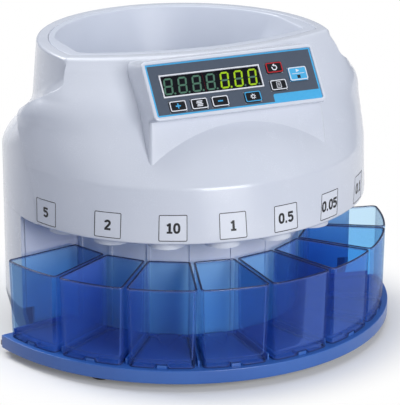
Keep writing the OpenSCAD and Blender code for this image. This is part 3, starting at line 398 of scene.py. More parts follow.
def overlay_film():
    """Slate film with a light blue border and a bare light blue field at its lower right."""
    p = Paint("overlay_film")
    x, y = panel_place(p)
    border_w = 1.6
    border = (abs(x) - (FILM_HX - border_w)).most(abs(y) - (FILM_HY - border_w)).step(0, 0.12)
    corner = ((x - 32.6).least(0.0) ** 2.0 + (y + 16.2).most(0.0) ** 2.0) ** 0.5
    field = 1 - corner.step(1.8, 0.12)
    print_mask = border.most(field)
    cover = p.noise(420, 3)
    slate = p.blend(cover, tone(76, 86, 100), tone(84, 94, 109))
    blue = p.blend(cover, tone(70, 172, 226), tone(84, 184, 234))
    return p.finish(p.principled(base_color=p.blend(print_mask, slate, blue),
                                 roughness=0.38 + 0.1 * (cover - 0.5),
                                 normal=p.bump(p.noise(2600, 1), 0.00001)))


def window_film():
    """Smoked window: a white printed frame round a dark see-through field with a gloss on it."""
    p = Paint("window_film")
    x, y = panel_place(p)
    frame_mask = (abs(x - WINDOW_X) - WINDOW_HX).most(abs(y - WINDOW_Y) - 8.75).step(0, 0.1)
    cover = p.noise(700, 2)
    white = p.principled(base_color=p.blend(cover, tone(226, 229, 236), tone(240, 242, 247)), roughness=0.4)
    dark = p.node("ShaderNodeBsdfTransparent", {}, {"Color": (0.86, 0.86, 0.89, 1)})
    face = p.principled(base_color=p.blend(cover, tone(14, 14, 20), tone(20, 20, 27)), roughness=0.12)
    clear = p.node("ShaderNodeMixShader", {}, {0: 0.16 + 0.5 * p.node("ShaderNodeFresnel", {}, {"IOR": 1.45}),
                                               1: dark, 2: face})
    return p.finish(p.node("ShaderNodeMixShader", {}, {0: frame_mask, 1: clear, 2: white}))


def smoked_blue():
    """See-through blue plastic of the boxes: tinted light goes through, and rims and feet are darker, a
    painted shade that turns them dark navy and nearly opaque.
    """
    p = Paint("smoked_blue")
    # Painted shade: painted_edge_shade is high at rims and feet, where the colour goes to dark navy and the
    # mix below makes the plastic nearly opaque.
    edge = p.node("ShaderNodeAttribute", {"attribute_name": "painted_edge_shade"}, out="Fac")
    fine = p.noise(60, 3)
    body = p.principled(base_color=p.blend(edge, tone(122, 142, 216), tone(14, 14, 62)),
                        roughness=0.10 + 0.08 * fine, normal=p.bump(p.noise(90, 2), 0.00008))
    through = p.node("ShaderNodeBsdfTransparent", {}, {"Color": (0.78, 0.92, 1, 1)})
    # The lavender body shows more towards grazing angles: partly the plastic's own milkiness, partly a
    # painted reflection of the pale surroundings.
    gloss = p.node("ShaderNodeFresnel", {}, {"IOR": 1.45})
    cover = (0.035 + 0.4 * gloss + 0.85 * edge).least(0.96)
    return p.finish(p.node("ShaderNodeMixShader", {}, {0: cover, 1: through, 2: body}))


OVERLAY = overlay_film()
WINDOW = window_film()
SMOKED = smoked_blue()


# Head covers

def front_arc(z):
    """Radius of the front cover's circle at a height and its centre ahead of the axis: two straight
    slopes of radius and of front point, joined by a soft bend at the crease."""
    up, over = z - BAND_Z, soft_max(z - CREASE_Z, 0, 1.8)
    band_h, slope_h = CREASE_Z - BAND_Z, RIM_Z - CREASE_Z
    radius, reach = (start + band / band_h * up + (slope / slope_h - band / band_h) * over
                     for start, band, slope in (ARC_RADIUS, ARC_REACH))
    return radius, reach - radius


def back_radius(psi, z, low):
    """Radius of the rear shell about its own centre: the softened larger of the hopper's leaning wall and
    a body of constant radius cut by a cone, whose height falls towards the back and by a given value."""
    wall = HOPPER_R + WALL_LEAN * (RIM_Z - z)
    ahead = soft_max(BACK_U + 145 * np.cos(psi), -60, 30)
    cone = SHOULDER_R + (SHOULDER_Z - low + SHOULDER_RISE * ahead - z) / SHOULDER_SLOPE
    return soft_max(wall, soft_min(BACK_R, cone, 9), 4)


def head_radius(psi, z, inset, low=0.0):
    """Radius of the head about the rear shell's centre: the softened smaller of the front cover's circle, met
    along the angle from that centre, and the rear shell, both drawn in by an inset. The corner between them
    grows softer from the band to the shoulder and is nearly sharp under the rim."""
    radius, centre = front_arc(z)
    off = centre - BACK_U
    front = off * np.cos(psi) + np.sqrt((radius - inset) ** 2 - (off * np.sin(psi)) ** 2)
    band_soft, shoulder_soft, rim_soft = 12, 24, 3
    soft = mix(band_soft, shoulder_soft, np.clip((z - 165) / 35, 0, 1))
    soft = mix(soft, rim_soft, np.clip((z - 222) / 16, 0, 1))
    return soft_min(front, back_radius(psi, z, low) - inset, soft)


def seam_angle(z, inset):
    """Angle of the covers' seam about the rear shell's centre: lines in degrees that lean back up the band,
    go round behind the shoulder, swing forward over it and rise to the rim, joined softly, and wider where
    the rim turns in."""
    band = soft_max(soft_max(72.5 + 0.169 * (z - BAND_Z), 75.4, 3), 85.2 + 1.3 * (z - 198.5), 2)
    swing = soft_max(76.9 + 0.74 * (225.7 - z), 72.4 + 0.18 * (z - 237), 3)
    return np.radians(soft_min(band, swing, 2) + 0.24 * inset)


def shoulder(z):
    """1 where the seam crosses the shoulder, falling off as a bell above and below."""
    return np.exp(-((z - SEAM_Z) / SEAM_H) ** 2)


def below_rim(z):
    """1 down the sides, falling to 0 where the rim's roll begins."""
    return np.clip((RIM_Z - RIM_ROLL - z) / 6, 0, 1)


def proud(z):
    """How far the front cover stands over the rear shell: most at the shoulder, nothing at the rim."""
    return (0.6 + 2.6 * shoulder(z)) * below_rim(z)


def edge_round(z):
    """Radius of the front cover's edge at the seam: largest at the shoulder."""
    return 0.6 + 1.6 * shoulder(z)


def rim_rows():
    """Rows (height, inset) over the head's rim: a roll, a flat top and a small inner edge."""
    roll, lip = RIM_ROLL, 0.7
    inner = RIM_W - lip
    return np.concatenate([bend((RIM_Z - roll, 0), (RIM_Z, 0), (RIM_Z, roll), 8),
                           line((RIM_Z, roll), (RIM_Z, inner), 2),
                           bend((RIM_Z, inner), (RIM_Z, RIM_W), (RIM_Z - lip, RIM_W), 4),
                           [(RIM_Z - 2.8, RIM_W)]])


def edge_columns(n):
    """Columns across a cover: share of the half angle, then reach past it and sink in units of an edge
    radius, with a quarter-round at both ends."""
    turn = np.linspace(0, math.pi / 2, 8)[1:]
    share = np.concatenate([-np.ones(len(turn)), np.linspace(-1, 1, n), np.ones(len(turn))])
    past = np.concatenate([-np.sin(turn[::-1]), np.zeros(n), np.sin(turn)])
    sink = 1 - np.cos(np.concatenate([turn[::-1], np.zeros(n), turn]))
    return share, past, sink


def about_back(psi, radius, z):
    """Points at an angle and radius about the rear shell's centre, at a height."""
    return np.stack([radius * np.sin(psi), BACK_U + radius * np.cos(psi), z + 0 * psi], -1)


def front_cover():
    """Band and slope of the head: rows of height and inset up the profile, columns round the front out to the
    seam, where the edge rolls in."""
    foot = BAND_Z + 2.4
    below, above, top = CREASE_Z - 5, CREASE_Z + 5, RIM_Z - RIM_ROLL
    rows = np.concatenate([bend((BAND_Z, 2.4), (BAND_Z, 0), (foot, 0), 6), line((foot, 0), (below, 0), 10),
                           line((below, 0), (above, 0), 14), line((above, 0), (top, 0), 56), rim_rows()])
    z, inset = rows[:, :1], rows[:, 1:]
    fade = below_rim(z) * (inset < 2.5)
    share, past, sink = edge_columns(170)
    seam = seam_angle(z, inset)
    roll = edge_round(z) / head_radius(seam, z, inset)
    psi = share * (seam - roll) + past * roll
    outer = head_radius(psi, z, inset) + proud(z) - sink * fade * edge_round(z)
    inner = head_radius(psi, z, np.maximum(inset, COVER_WALL)) + proud(z)
    inner = np.minimum(inner, head_radius(psi, z, inset, SHOULDER_STEP) - 0.4)
    skin = shell(about_back(psi, outer, z), about_back(psi, inner, np.minimum(z, RIM_Z - 3.6)), False)
    piece("front_cover_moulding", [skin], COVER, "machine", ["front_cover"])


def rear_shell():
    """Round back of the head: rows up the wall, columns round from seam to seam, with a groove beside the
    front cover's edge, a lap under it and a lower shoulder near it."""
    foot = BAND_Z + 0.3
    rows = np.concatenate([bend((BAND_Z, 0.3), (BAND_Z, 0), (foot, 0), 3),
                           line((foot, 0), (RIM_Z - RIM_ROLL, 0), 98), rim_rows()])
    z, inset = rows[:, :1], rows[:, 1:]
    fade = below_rim(z) * (inset < 2.5)
    gap, groove_r, lap_w, lap_sink, lap_drop = 0.65, 0.5, 5.0, 6.8, 1.6
    share, past, sink = edge_columns(220)
    share = np.concatenate([[-1], share, [1]])
    past = np.concatenate([[-1], past, [1]])
    lap = np.zeros(len(share))
    lap[0], lap[-1] = -1, 1
    sink = np.concatenate([[lap_sink], sink, [lap_sink]])
    seam = seam_angle(z, inset)
    reach = head_radius(seam, z, inset)
    psi = math.pi + share * (math.pi - seam - gap / reach) + (groove_r * past + lap_w * lap * fade) / reach
    drop = lap_drop * np.abs(lap) * (1 - fade)
    low = SHOULDER_STEP * np.clip((STEP_END - math.pi + np.abs(psi - math.pi)) / STEP_FADE, 0, 1)
    outer = head_radius(psi, z, inset, low) - groove_r * sink * fade
    inner = head_radius(psi, z, np.maximum(inset, SHELL_WALL), low)
    inner_z = np.minimum(z, RIM_Z - 3.6) - drop
    skin = shell(about_back(psi, outer, z - drop), about_back(psi, inner, inner_z), False)
    piece("rear_shell_moulding", [skin], COVER, "machine", ["rear_shell"])


def hopper_bowl():
    """Funnel insert: at each height the distance from the middle to the nearest of a round back, a long front
    arc and two ramps, with rounded corners, and a flat rim above."""
    low_z, hole_r, foot_r = 142.0, 56.0, 66.0
    flange_in, mouth_in, ledge_t, wall_t = 10.35, 16.0, 2.8, 2.4
    front_r, front_fall, ramp_x, ramp_tilt = 258.0, 8.0, 105.0, math.radians(27)
    theta = np.linspace(0, 2 * math.pi, 361)[:-1][None]
    sx, su = np.sin(theta), np.cos(theta)

    def hit(centre, radius):
        b = -centre * su
        return -b + np.sqrt(b * b - centre ** 2 + radius ** 2)

    rim = np.concatenate([[(RIM_Z - 2.6, flange_in)],
                          bend((RIM_Z - 0.8, flange_in), (RIM_Z, flange_in), (RIM_Z, flange_in + 0.75), 4),
                          line((RIM_Z, flange_in + 0.75), (RIM_Z, 13), 2)])
    z, inset = rim[:, :1], rim[:, 1:]
    flange = soft_min(hit(BACK_U, HOPPER_R - inset), hit(LENS_U, LENS_R - inset), 2.5)
    mouth = bend((0, mouth_in - 1.2), (0, mouth_in), (1.4, mouth_in), 6)
    wall_z = np.concatenate([RIM_Z - mouth[:, :1], line((RIM_Z - 1.4,), (low_z + 5,), 46),
                             [[low_z + 4], [low_z + 0.2]]])
    wall_in = np.concatenate([mouth[:, 1:], np.full((len(wall_z) - len(mouth), 1), mouth_in)])
    down = RIM_Z - wall_z
    t = down / (RIM_Z - low_z)
    back = hit(BACK_U, mix(HOPPER_R - wall_in, foot_r, t))
    front = hit(LENS_U, front_r - wall_in - front_fall * t)
    ramp = ramp_x + mouth_in - wall_in - down * math.tan(ramp_tilt)
    ramp = ramp / np.maximum(np.abs(sx), 1e-6)
    wall = soft_min(soft_min(back, front, 14), np.minimum(ramp, 400), 2.5)
    wall[-1] = np.minimum(wall[-1], hole_r)
    r = np.concatenate([flange, wall])
    z = np.concatenate([z, wall_z]) + 0 * r
    lower_z = np.minimum(z, RIM_Z - ledge_t)
    lower_z[:len(flange)] = RIM_Z - ledge_t
    lower_z[-1] = low_z
    lower_r = np.concatenate([flange, wall + wall_t * np.clip(down / 4, 0, 1)])

    def skin(radius, lift):
        return np.stack([radius * sx, radius * su, lift], -1)

    piece("hopper_moulding", [shell(skin(r, z), skin(lower_r, lower_z), True)], HOPPER, "machine",
          ["hopper_bowl"])


def console():
    """Panel housing: rounded outlines from the window's pocket over the recess and the bezel, drawn under the
    lip and down to level outlines whose front leans forward, with a land that falls back to the rim, none of
    it far under the cover, and a thin bead where the front meets the cover."""
    steps, side, face_z, bezel_z, bezel_r = 10, 26, -1.05, 1.2, 1.6
    lean_u, lean_z, back, deepest, bead_r = 112.5, 212.5, 50.0, 6.0, 0.5

    def tilted(hx, hy, r, z, x=0.0, y=0.0):
        return on_panel(heights(round_rect(hx, hy, r, steps, side)[0] + (x, y), z))

    def lean(z):
        return lean_u + 0.157 * (lean_z - z)

    def level(z):
        deep = (lean(z) - back) / 2
        outline = round_rect(PANEL_HX + 0.2 + 0.07 * (lean_z - z), deep, 3.0, steps, side)[0]
        return heights(outline * (1, -1) + (0, back + deep), z)

    def tucked(p):
        radius, centre = front_arc(p[:, 2])
        limit = centre + np.sqrt(radius ** 2 - p[:, 0] ** 2) - deepest
        return np.stack([p[:, 0], np.maximum(p[:, 1], limit), p[:, 2]], -1)

    floor = [tilted(46, 10.6, 1, z, WINDOW_X, WINDOW_Y) for z in (-4.6, face_z)]
    floor += [tilted(FILM_HX + g, FILM_HY + g, 1.6 + g, z)
              for g, z in ((0, face_z), (0, 0.7), (0.15, 1.05), (0.5, bezel_z))]
    bezel = [tilted(PANEL_HX - g, PANEL_HY - g, PANEL_CORNER - g, bezel_z - h)
             for g, h in bend((bezel_r, 0), (0, 0), (0, bezel_r), 8)]
    edge, first = tilted(PANEL_HX, PANEL_HY, PANEL_CORNER, -1.4), level(lean_z)
    behind = np.maximum(round_rect(PANEL_HX, PANEL_HY, PANEL_CORNER, steps, side)[1][:, 1:], 0) ** 0.25
    land = ((0.1, -5, -0.6), (0.2, -11, -1.6), (0.35, -18, -3), (0.5, -26, -5), (0.65, -34, -8),
            (0.8, -40, -14))
    skirt = [mix(mix(edge, first, t), edge + (0, u, z), behind) for t, u, z in land]
    skirt += [first] + [level(z) for z in (208, 202, 195, 188, 181, 174, 168)]
    span = np.linspace(-PANEL_HX - 0.5, PANEL_HX + 0.5, 161)
    low, high = np.full_like(span, 163.0), np.full_like(span, 230.0)
    for _ in range(34):
        lift = (low + high) / 2
        radius, centre = front_arc(lift)
        ahead = centre + np.sqrt(radius ** 2 - span ** 2) > lean(lift)
        low, high = np.where(ahead, lift, low), np.where(ahead, high, lift)
    around = np.linspace(0, 2 * math.pi, 9)[:-1][:, None]
    bead = np.stack([span + 0 * around, lean(lift) + bead_r * np.cos(around),
                     lift + bead_r * np.sin(around)], -1)
    rings = floor + bezel + [edge] + [tucked(p) for p in skirt]
    skins = [loft(np.stack(rings)), loft(np.moveaxis(bead, 0, 1))]
    piece("console_housing", skins, COVER, "machine", ["console"], sharp=50)


# Panel pieces

def bar(w, h):
    """Outline of a plain bar about its middle."""
    return np.array([(-w, -h), (w, -h), (w, h), (-w, h)]) / 2


def segments():
    """Bars of a slanted seven-bar digit and its point: long hexagons laid along the figure's centre lines."""
    hw, hh, t, slant = 3.25, 6.4, 1.5, math.tan(math.radians(8))
    bars = [(0, hh, 0), (hw, hh / 2, 1), (hw, -hh / 2, 1), (0, -hh, 0), (-hw, -hh / 2, 1), (-hw, hh / 2, 1),
            (0, 0, 0)]
    out = []
    for x, y, upright in bars:
        length = (hh if upright else 2 * hw) - 0.35
        h = length / 2
        hexagon = np.array([(-h, 0), (t / 2 - h, -t / 2), (h - t / 2, -t / 2), (h, 0), (h - t / 2, t / 2),
                            (t / 2 - h, t / 2)])
        if upright:
            hexagon = hexagon[:, ::-1] * (1, -1)
        out.append(hexagon + (x, y))
    a = np.linspace(0, 2 * math.pi, 13)[:-1]
    out.append(0.85 * np.stack([np.cos(a), np.sin(a)], -1) + (hw + 2.15, -hh))
    return [p + p[:, 1:] * (slant, 0) for p in out]


def prism(outline, z0, z1, x, y):
    """A flat outline with a thickness, on the panel."""
    outline = outline + np.array([x, y])
    return loft(on_panel(np.stack([heights(outline, z0), heights(outline, z1)])))


def frame_prism(outer, inner, z0, z1, x, y):
    """A flat ring between two outlines of the same count, on the panel."""
    shift = np.array([x, y])
    chain = [heights(outer + shift, z0), heights(outer + shift, z1), heights(inner + shift, z1),
             heights(inner + shift, z0)]
    return ring(on_panel(np.stack(chain)))


def display():
    """Seven digits on the modules' faces: three zeros and one point lit, the other bars dim with a painted
    glow.
    """
    lit, dim = [], []
    for d in range(7):
        x = WINDOW_X + (d - 3) * DIGIT_PITCH - 0.4
        for k, outline in enumerate(segments()):
            on = (d >= 4 and k < 6) or (d == 4 and k == 7)
            (lit if on else dim).append(prism(outline, -1.4, -1.2, x, WINDOW_Y))
    piece("digits_lit", lit, LIT, "machine")
    piece("digits_unlit_glow", dim, UNLIT_GLOW, "machine")
    split = prism(bar(0.24, 18), -1.4, -1.25, WINDOW_X - 6.3, WINDOW_Y)
    piece("module_split", [split], INK_RED, "machine")
    mask, _ = round_rect(WINDOW_HX, 9.4, 0.4, 3, 8)
    piece("digit_mask", [prism(mask, -4.3, -1.35, WINDOW_X, WINDOW_Y)], MODULE, "machine")


def keycap(name, x, y, w, h, cap, frame_ink, signs):
    """One key: a rounded cap with a flange, a printed frame at its edge and plain signs on its face."""
    chain = [(2.5, -5.5), (-0.8, -5.5), (-0.8, -4.5), (0.05, -4.5), (0.05, 0.3)]
    chain += [tuple(p) for p in bend((0.05, 0.35), (0.05, 0.9), (0.5, 0.9), 5)] + [(1.4, 0.9)]
    rows = [heights(round_rect(w / 2 - i, h / 2 - i, 1.7 - 0.4 * i, 6, 6)[0] + (x, y), z) for i, z in chain]
    piece(name + "_cap", [loft(on_panel(np.stack(rows)))], cap, name, [name])
    outer, _ = round_rect(w / 2 - 0.35, h / 2 - 0.35, 1.4, 6, 6)
    inner, _ = round_rect(w / 2 - 1.15, h / 2 - 1.15, 0.9, 6, 6)
    piece(name + "_frame", [frame_prism(outer, inner, 0.86, 0.95, x, y)], frame_ink, name)
    for k, (sign_ink, skins) in enumerate(signs):
        piece(name + "_sign_%d" % (k + 1), skins, sign_ink, name)


def arc_band(r0, r1, a0, a1, x, y):
    """A flat band along a part of a circle, with a thickness."""
    a = np.radians(np.linspace(a0, a1, 25))
    way = np.stack([np.cos(a), np.sin(a)], -1)
    corners = ((r0, SIGN_LOW), (r1, SIGN_LOW), (r1, SIGN_TOP), (r0, SIGN_TOP))
    chain = [heights(r * way + (x, y), z) for r, z in corners]
    return loft(on_panel(np.moveaxis(np.stack(chain), 0, 1)))


def sign(outline, x, y):
    """A plain sign printed on a key's face."""
    return prism(outline, SIGN_LOW, SIGN_TOP, x, y)


def keys():
    """The seven keys, each with a plain sign for what it does."""
    size, row = (KEY_W, KEY_H), -15
    w, h = 0.55, 2.2
    plus = np.array([(-w, -w), (-w, -h), (w, -h), (w, -w), (h, -w), (h, w), (w, w), (w, h), (-w, h), (-w, w),
                     (-h, w), (-h, -w)])
    x = -54.9
    keycap("key_plus", x, row, *size, CAP, INK_WHITE, [(INK_BLUE, [sign(plus, x, row)])])
    x = -36
    coins = [sign(bar(5.0, 0.85), x + dx, row + dy)
             for dx, dy in ((0, -1.9), (0.5, -0.6), (-0.3, 0.7), (0.3, 2.0))]
    keycap("key_count", x, row, *size, CAP, INK_WHITE, [(INK_WHITE, coins)])
    x = -17.4
    keycap("key_minus", x, row, *size, CAP, INK_WHITE, [(INK_BLUE, [sign(bar(4.4, 1.1), x, row)])])
    x, y = 12.3, -14.5
    a = np.linspace(0, 2 * math.pi, 97)[:-1]
    teeth = 1.95 + 0.45 * np.tanh(4 * np.sin(8 * a))
    wheel = np.stack([np.cos(a), np.sin(a)], -1)
    cog = frame_prism(wheel * teeth[:, None], 0.95 * wheel, SIGN_LOW, SIGN_TOP, x, y)
    keycap("key_set", x, y, *size, CAP, INK_BLUE, [(INK_WHITE, [cog])])
    x, y = 37.9, 8.3
    head = np.array([(0, -1.3), (0, 1.3), (-1.9, 0)])
    back_arrow = [arc_band(1.6, 2.5, -200, 70, x, y - 0.1), sign(head, x + 0.4, y + 1.95)]
    keycap("key_reset", x, y, *size, CAP, INK_RED, [(INK_WHITE, back_arrow)])
    y = -7.1
    page_out, _ = round_rect(2.1, 2.8, 0.4, 4, 4)
    page_in, _ = round_rect(1.65, 2.35, 0.2, 4, 4)
    page = [frame_prism(page_out, page_in, SIGN_LOW, SIGN_TOP, x, y)]
    page += [sign(bar(2.1, 0.4), x, y + dy) for dy in (-1.2, 0, 1.2)]
    keycap("key_report", x, y, *size, CAP, INK_WHITE, [(INK_WHITE, page)])
    x, y = 57.9, 0.7
    go = np.array([(-1.4, -1.5), (1.7, 0), (-1.4, 1.5)])
    start = [sign(go, x, y + 2.6), sign(bar(11.4, 0.45), x, y + 0.05)]
    keycap("key_start_stop", x, y, 17, 12.2, START, INK_WHITE,
           [(INK_WHITE, start), (INK_BLACK, [sign(bar(2.9, 2.9), x, y - 2.8)])])


# Labels on the band

def stroke(path, width, low, high, place, closed):
    """A flat band of even width along a path, with a thickness: each point goes out to both sides at a right
    angle to the path, and a place function lays the result on its surface."""
    way = np.roll(path, -1, 0) - np.roll(path, 1, 0) if closed else np.gradient(path, axis=0)
    way = way / np.linalg.norm(way, axis=1, keepdims=True)
    side = way[:, ::-1] * (1, -1) * width / 2
    chain = [place(path + side * s, lift) for s, lift in ((1, low), (-1, low), (-1, high), (1, high))]
    rows = np.moveaxis(np.stack(chain), 0, 1)
    return ring(rows) if closed else loft(rows)


def run(x0, y0, x1, y1):
    """Points along a straight line."""
    return mix(np.array([x0, y0]), np.array([x1, y1]), np.linspace(0, 1, 9)[:, None])


def arc(x, y, rx, ry, start, end, power=1.0):
    """Points round an oval between two angles; a power under 1 squares it off."""
    a = np.radians(np.linspace(start, end, 33))
    c, s = np.cos(a), np.sin(a)
    return np.stack([x + rx * np.sign(c) * np.abs(c) ** power, y + ry * np.sign(s) * np.abs(s) ** power], -1)


def figure(mark):
    """Centre lines of a bold figure, 8.3 high and 5.4 wide, with each line's width and whether it closes."""
    return {
        "0": [(arc(0, 0, 1.95, 3.4, 0, 360, 0.78)[:-1], 1.5, True)],
        "1": [(run(0.3, -3.6, 0.3, 4.15), 1.6, False), (run(0.7, 3.45, -1.9, 2.1), 1.3, False),
              (run(-2.0, -3.5, 2.5, -3.5), 1.3, False)],
        "2": [(np.concatenate([arc(0, 1.72, 1.9, 1.7, 170, -28), run(1.5, 0.6, -1.95, -3.3)]), 1.5, False),
              (run(-2.6, -3.45, 2.65, -3.45), 1.4, False)],
        "5": [(run(-2.0, 3.45, 2.4, 3.45), 1.4, False), (run(-1.75, 4.1, -1.95, 0.2), 1.3, False),
              (arc(-0.15, -1.25, 2.15, 2.15, 138, -150), 1.5, False)],
        ".": [(run(-0.75, -3.4, 0.75, -3.4), 1.5, False)],
    }[mark]


def labels():
    """Eight films on the band with a thin outline and a plain number each, laid by angle about the rear
    shell's centre; those on the right slant, more so further round."""
    films, outlines, numbers = [], [], []
    marks = zip(("5", "2", "10", "1", "0.5", "0.05", "0.1", "0.01"),
                np.radians((-71.2, -48.7, -28.2, -9.0, 10.0, 29.7, 50.6, 71.2)))
    outer, _ = round_rect(LABEL_HX, LABEL_HY, 1.2, 4, 20)
    inner, _ = round_rect(LABEL_HX - 0.6, LABEL_HY - 0.6, 0.7, 4, 20)
    for text, psi in marks:
        middle = head_radius(psi, LABEL_Z, 0)

        def lay(p, lift):
            turn, z = psi + (p[:, 0] + 0.49 * max(psi, 0) * p[:, 1]) / middle, LABEL_Z + p[:, 1]
            return about_back(turn, head_radius(turn, z, 0) + proud(z) + lift, z)

        film = [lay(outer, -0.3), lay(outer, 0.1)] + [lay(outer * k, 0.1) for k in (0.8, 0.6, 0.4, 0.2)]
        films.append(loft(np.stack(film)))
        chain = [lay(outer, 0.08), lay(outer, 0.18), lay(inner, 0.18), lay(inner, 0.08)]
        outlines.append(ring(np.stack(chain)))
        steps = np.array([3.0 if mark == "." else 6.0 for mark in text])
        for mark, x in zip(text, np.cumsum(steps) - (steps + steps.sum()) / 2):
            numbers += [stroke(path + (x, 0), 1.22 * width, 0.05, 0.2, lay, closed)
                        for path, width, closed in figure(mark)]
    piece("label_films", films, LABEL, "machine")
    piece("label_outlines", outlines, INK_BLACK, "machine")
    piece("label_numbers", numbers, INK_BLACK, "machine", sharp=30)


# Boxes, tray and feet

def box_outline(inset):
    """A coin box seen from above about the disc's axis: half of a front arc, a round corner, a straight side,
    a rounded back corner and half of the back, as points (across, ahead), then the same mirrored."""
    half = BOX_PITCH / 2
    along, out = np.array([math.sin(half), math.cos(half)]), np.array([math.cos(half), -math.sin(half)])
    back_hw = BOX_BACK * math.tan(half) - BOX_GAP / 2
    front_r, back_r = max(BOX_CORNER - inset, 1.0), max(BOX_BACK_CORNER - inset, 0.5)
    corner = np.array([back_hw, BOX_BACK])
    p = corner - (inset + front_r) * out
    b, k = p @ along, BOX_FRONT - inset - front_r
    mid = p + (math.sqrt(b * b - p @ p + k * k) - b) * along
    a_front, a_side = math.atan2(mid[1], mid[0]), math.atan2(out[1], out[0])
    a = np.linspace(a_front, a_side, 13)
    turn = mid + front_r * np.stack([np.cos(a), np.sin(a)], -1)
    q0 = corner - inset * out
    q = q0 + (BOX_BACK + inset - q0[1]) / along[1] * along
    side = line(turn[-1], q, 18)
    side = side[side[:, 1] > q[1] + back_r]
    back_turn = bend(q + along * back_r, q, q - np.array([back_r, 0]), 5)
    slot = back_hw - 5
    x_back = (0.93 * back_turn[-1][0], slot + 0.1, slot, 0.6 * slot, 0.2 * slot)
    back = np.array([(x, q[1]) for x in x_back])
    x_front = np.concatenate([np.linspace(turn[0][0], 4.7, 10)[1:], [4.5, 3.0, 1.0]])
    front = np.stack([x_front, np.sqrt((BOX_FRONT - inset) ** 2 - x_front ** 2)], -1)
    right = np.concatenate([front[::-1], turn, side, back_turn, back])
    return np.concatenate([right, right[::-1] * (-1, 1)])


def coin_box(i):
    """One see-through box: its outline lofted from the hollow underside over the outer wall, the rounded rim
    and the inner wall to the floor. The walls draft in downwards; a notch and a slot lift the lower edge."""
    wall, skirt, top = BOX_WALL, BOX_SKIRT, BOX_H
    notch_half, slot_half = 4.62, BOX_BACK * math.tan(BOX_PITCH / 2) - 6.85
    most_inset, floor_in, draft = 9.0, 26.0, (0.935, 0.985)
    outside = [(wall + 1.5, skirt), (wall + 1.5, 0.5), (wall + 1.1, 0), (0.9, 0), (0.25, 0.25), (0, 0.9)]
    outside += [(0, z) for z in (2, 3.3, 3.5, 6, 14, 26, 40, 54, 62, 66)]
    rim = [(0, top - 0.9), (0.12, top - 0.35), (0.45, top), (wall - 0.45, top), (wall - 0.12, top - 0.35),
           (wall, top - 0.9)]
    inside = [(wall, z) for z in (66, 62, 54, 40, 26, 14)]
    inside += [tuple(p) for p in bend((wall, skirt + 5.5), (wall, skirt + 2), (wall + 3.5, skirt + 2), 6)]
    inside += [(wall + 8, skirt + 2), (wall + 14, skirt + 2)]
    rows, shade = [], []
    for inset, z in outside + rim + inside:
        flat = box_outline(min(inset, most_inset))
        if inset > most_inset:
            flat = (flat - (0, BOX_MID)) * (1 - (inset - most_inset) / floor_in) + (0, BOX_MID)
        t = z / top
        spread = mix(np.array(draft), 1, t)
        flat = (flat - (0, BOX_MID)) * spread + (0, BOX_MID)
        lifted = np.full(len(flat), z)
        across, ahead = np.abs(flat[:, 0]), flat[:, 1] - BOX_MID
        notch = (across < notch_half) & (ahead > 20)
        slot = (across < slot_half * spread[0] + 0.05) & (ahead < -20)
        lifted = np.where(notch | slot, np.maximum(lifted, skirt - 0.05 + 0.02 * z), lifted)
        rows.append(np.concatenate([flat, lifted[:, None] + TRAY_TOP], -1))
        # Painted shade: the rim and the foot get values that the box material turns dark navy.
        near_rim = max(0.0, 1 - abs(z - top) / 1.6) if inset < wall + 0.1 else 0.0
        near_foot = max(0.0, 1 - z / 2.2) * 0.8 if inset < 3 else 0.0
        shade.append(np.full(len(flat), max(near_rim, near_foot)))
    skin = loft(turned(np.stack(rows), (i - (BOX_N - 1) / 2) * BOX_PITCH))
    obj = piece("box_%d_moulding" % (i + 1), [skin], SMOKED, "box_%d" % (i + 1), ["coin_box_%d" % (i + 1)],
                sharp=50)
    values = np.concatenate(shade + [[0.0, 0.0]]).astype(np.float32)
    obj.data.attributes.new("painted_edge_shade", "FLOAT", "POINT").data.foreach_set("value", values)


def turned_block(x0, x1, u0, u1, z0, z1, r, az):
    """A block with rounded upright corners and top edges, turned about the axis to an azimuth."""
    hx, hy, mid = (x1 - x0) / 2, (u1 - u0) / 2, np.array([(x0 + x1) / 2, (u0 + u1) / 2])
    chain = [(0, z0), (0, z1 - r)] + [tuple(p) for p in bend((0, z1 - r), (0, z1), (r, z1), 4)[1:]]
    rows = np.stack([heights(round_rect(hx - i, hy - i, r, 4, 4)[0] + mid, z) for i, z in chain])
    return loft(turned(rows, az))


def coin_tray():
    """Tray: a rounded section carried round the front, with ribs beside the boxes and a tab for each box."""
    az = np.linspace(-TRAY_HALF, TRAY_HALF, 181)
    skirt, plate_low, low_r, top_r = TRAY_R - 3, TRAY_TOP - 3, 0.6, 0.8
    low, high = (TRAY_R, TRAY_LOW + low_r), (TRAY_R, TRAY_TOP - top_r)
    under, over = (TRAY_R - low_r, TRAY_LOW), (TRAY_R - top_r, TRAY_TOP)
    section = np.concatenate([[(skirt, TRAY_LOW), under], bend(under, (TRAY_R, TRAY_LOW), low, 3),
                              line(low, high, 3), bend(high, (TRAY_R, TRAY_TOP), over, 5),
                              line(over, (TRAY_IN, TRAY_TOP), 10),
                              [(TRAY_IN, TRAY_TOP), (TRAY_IN, plate_low), (skirt, plate_low)]])
    r, z = section[:, :1], section[:, 1:]
    skins = [loft(np.moveaxis(np.stack([r * np.sin(az), r * np.cos(az), z + 0 * az], -1), 0, 1))]
    rib = (-0.8, 0.8, 114.3, 174, TRAY_TOP - 0.5, TRAY_TOP + 5, 0.35)
    tab = (-4, 4, 171, 179, TRAY_TOP - 0.5, TRAY_TOP + 2.6, 0.5)
    for block, count in ((rib, BOX_N + 1), (tab, BOX_N)):
        skins += [turned_block(*block, (k - (count - 1) / 2) * BOX_PITCH) for k in range(count)]
    piece("tray_moulding", skins, TRAY, "machine", ["coin_tray"])


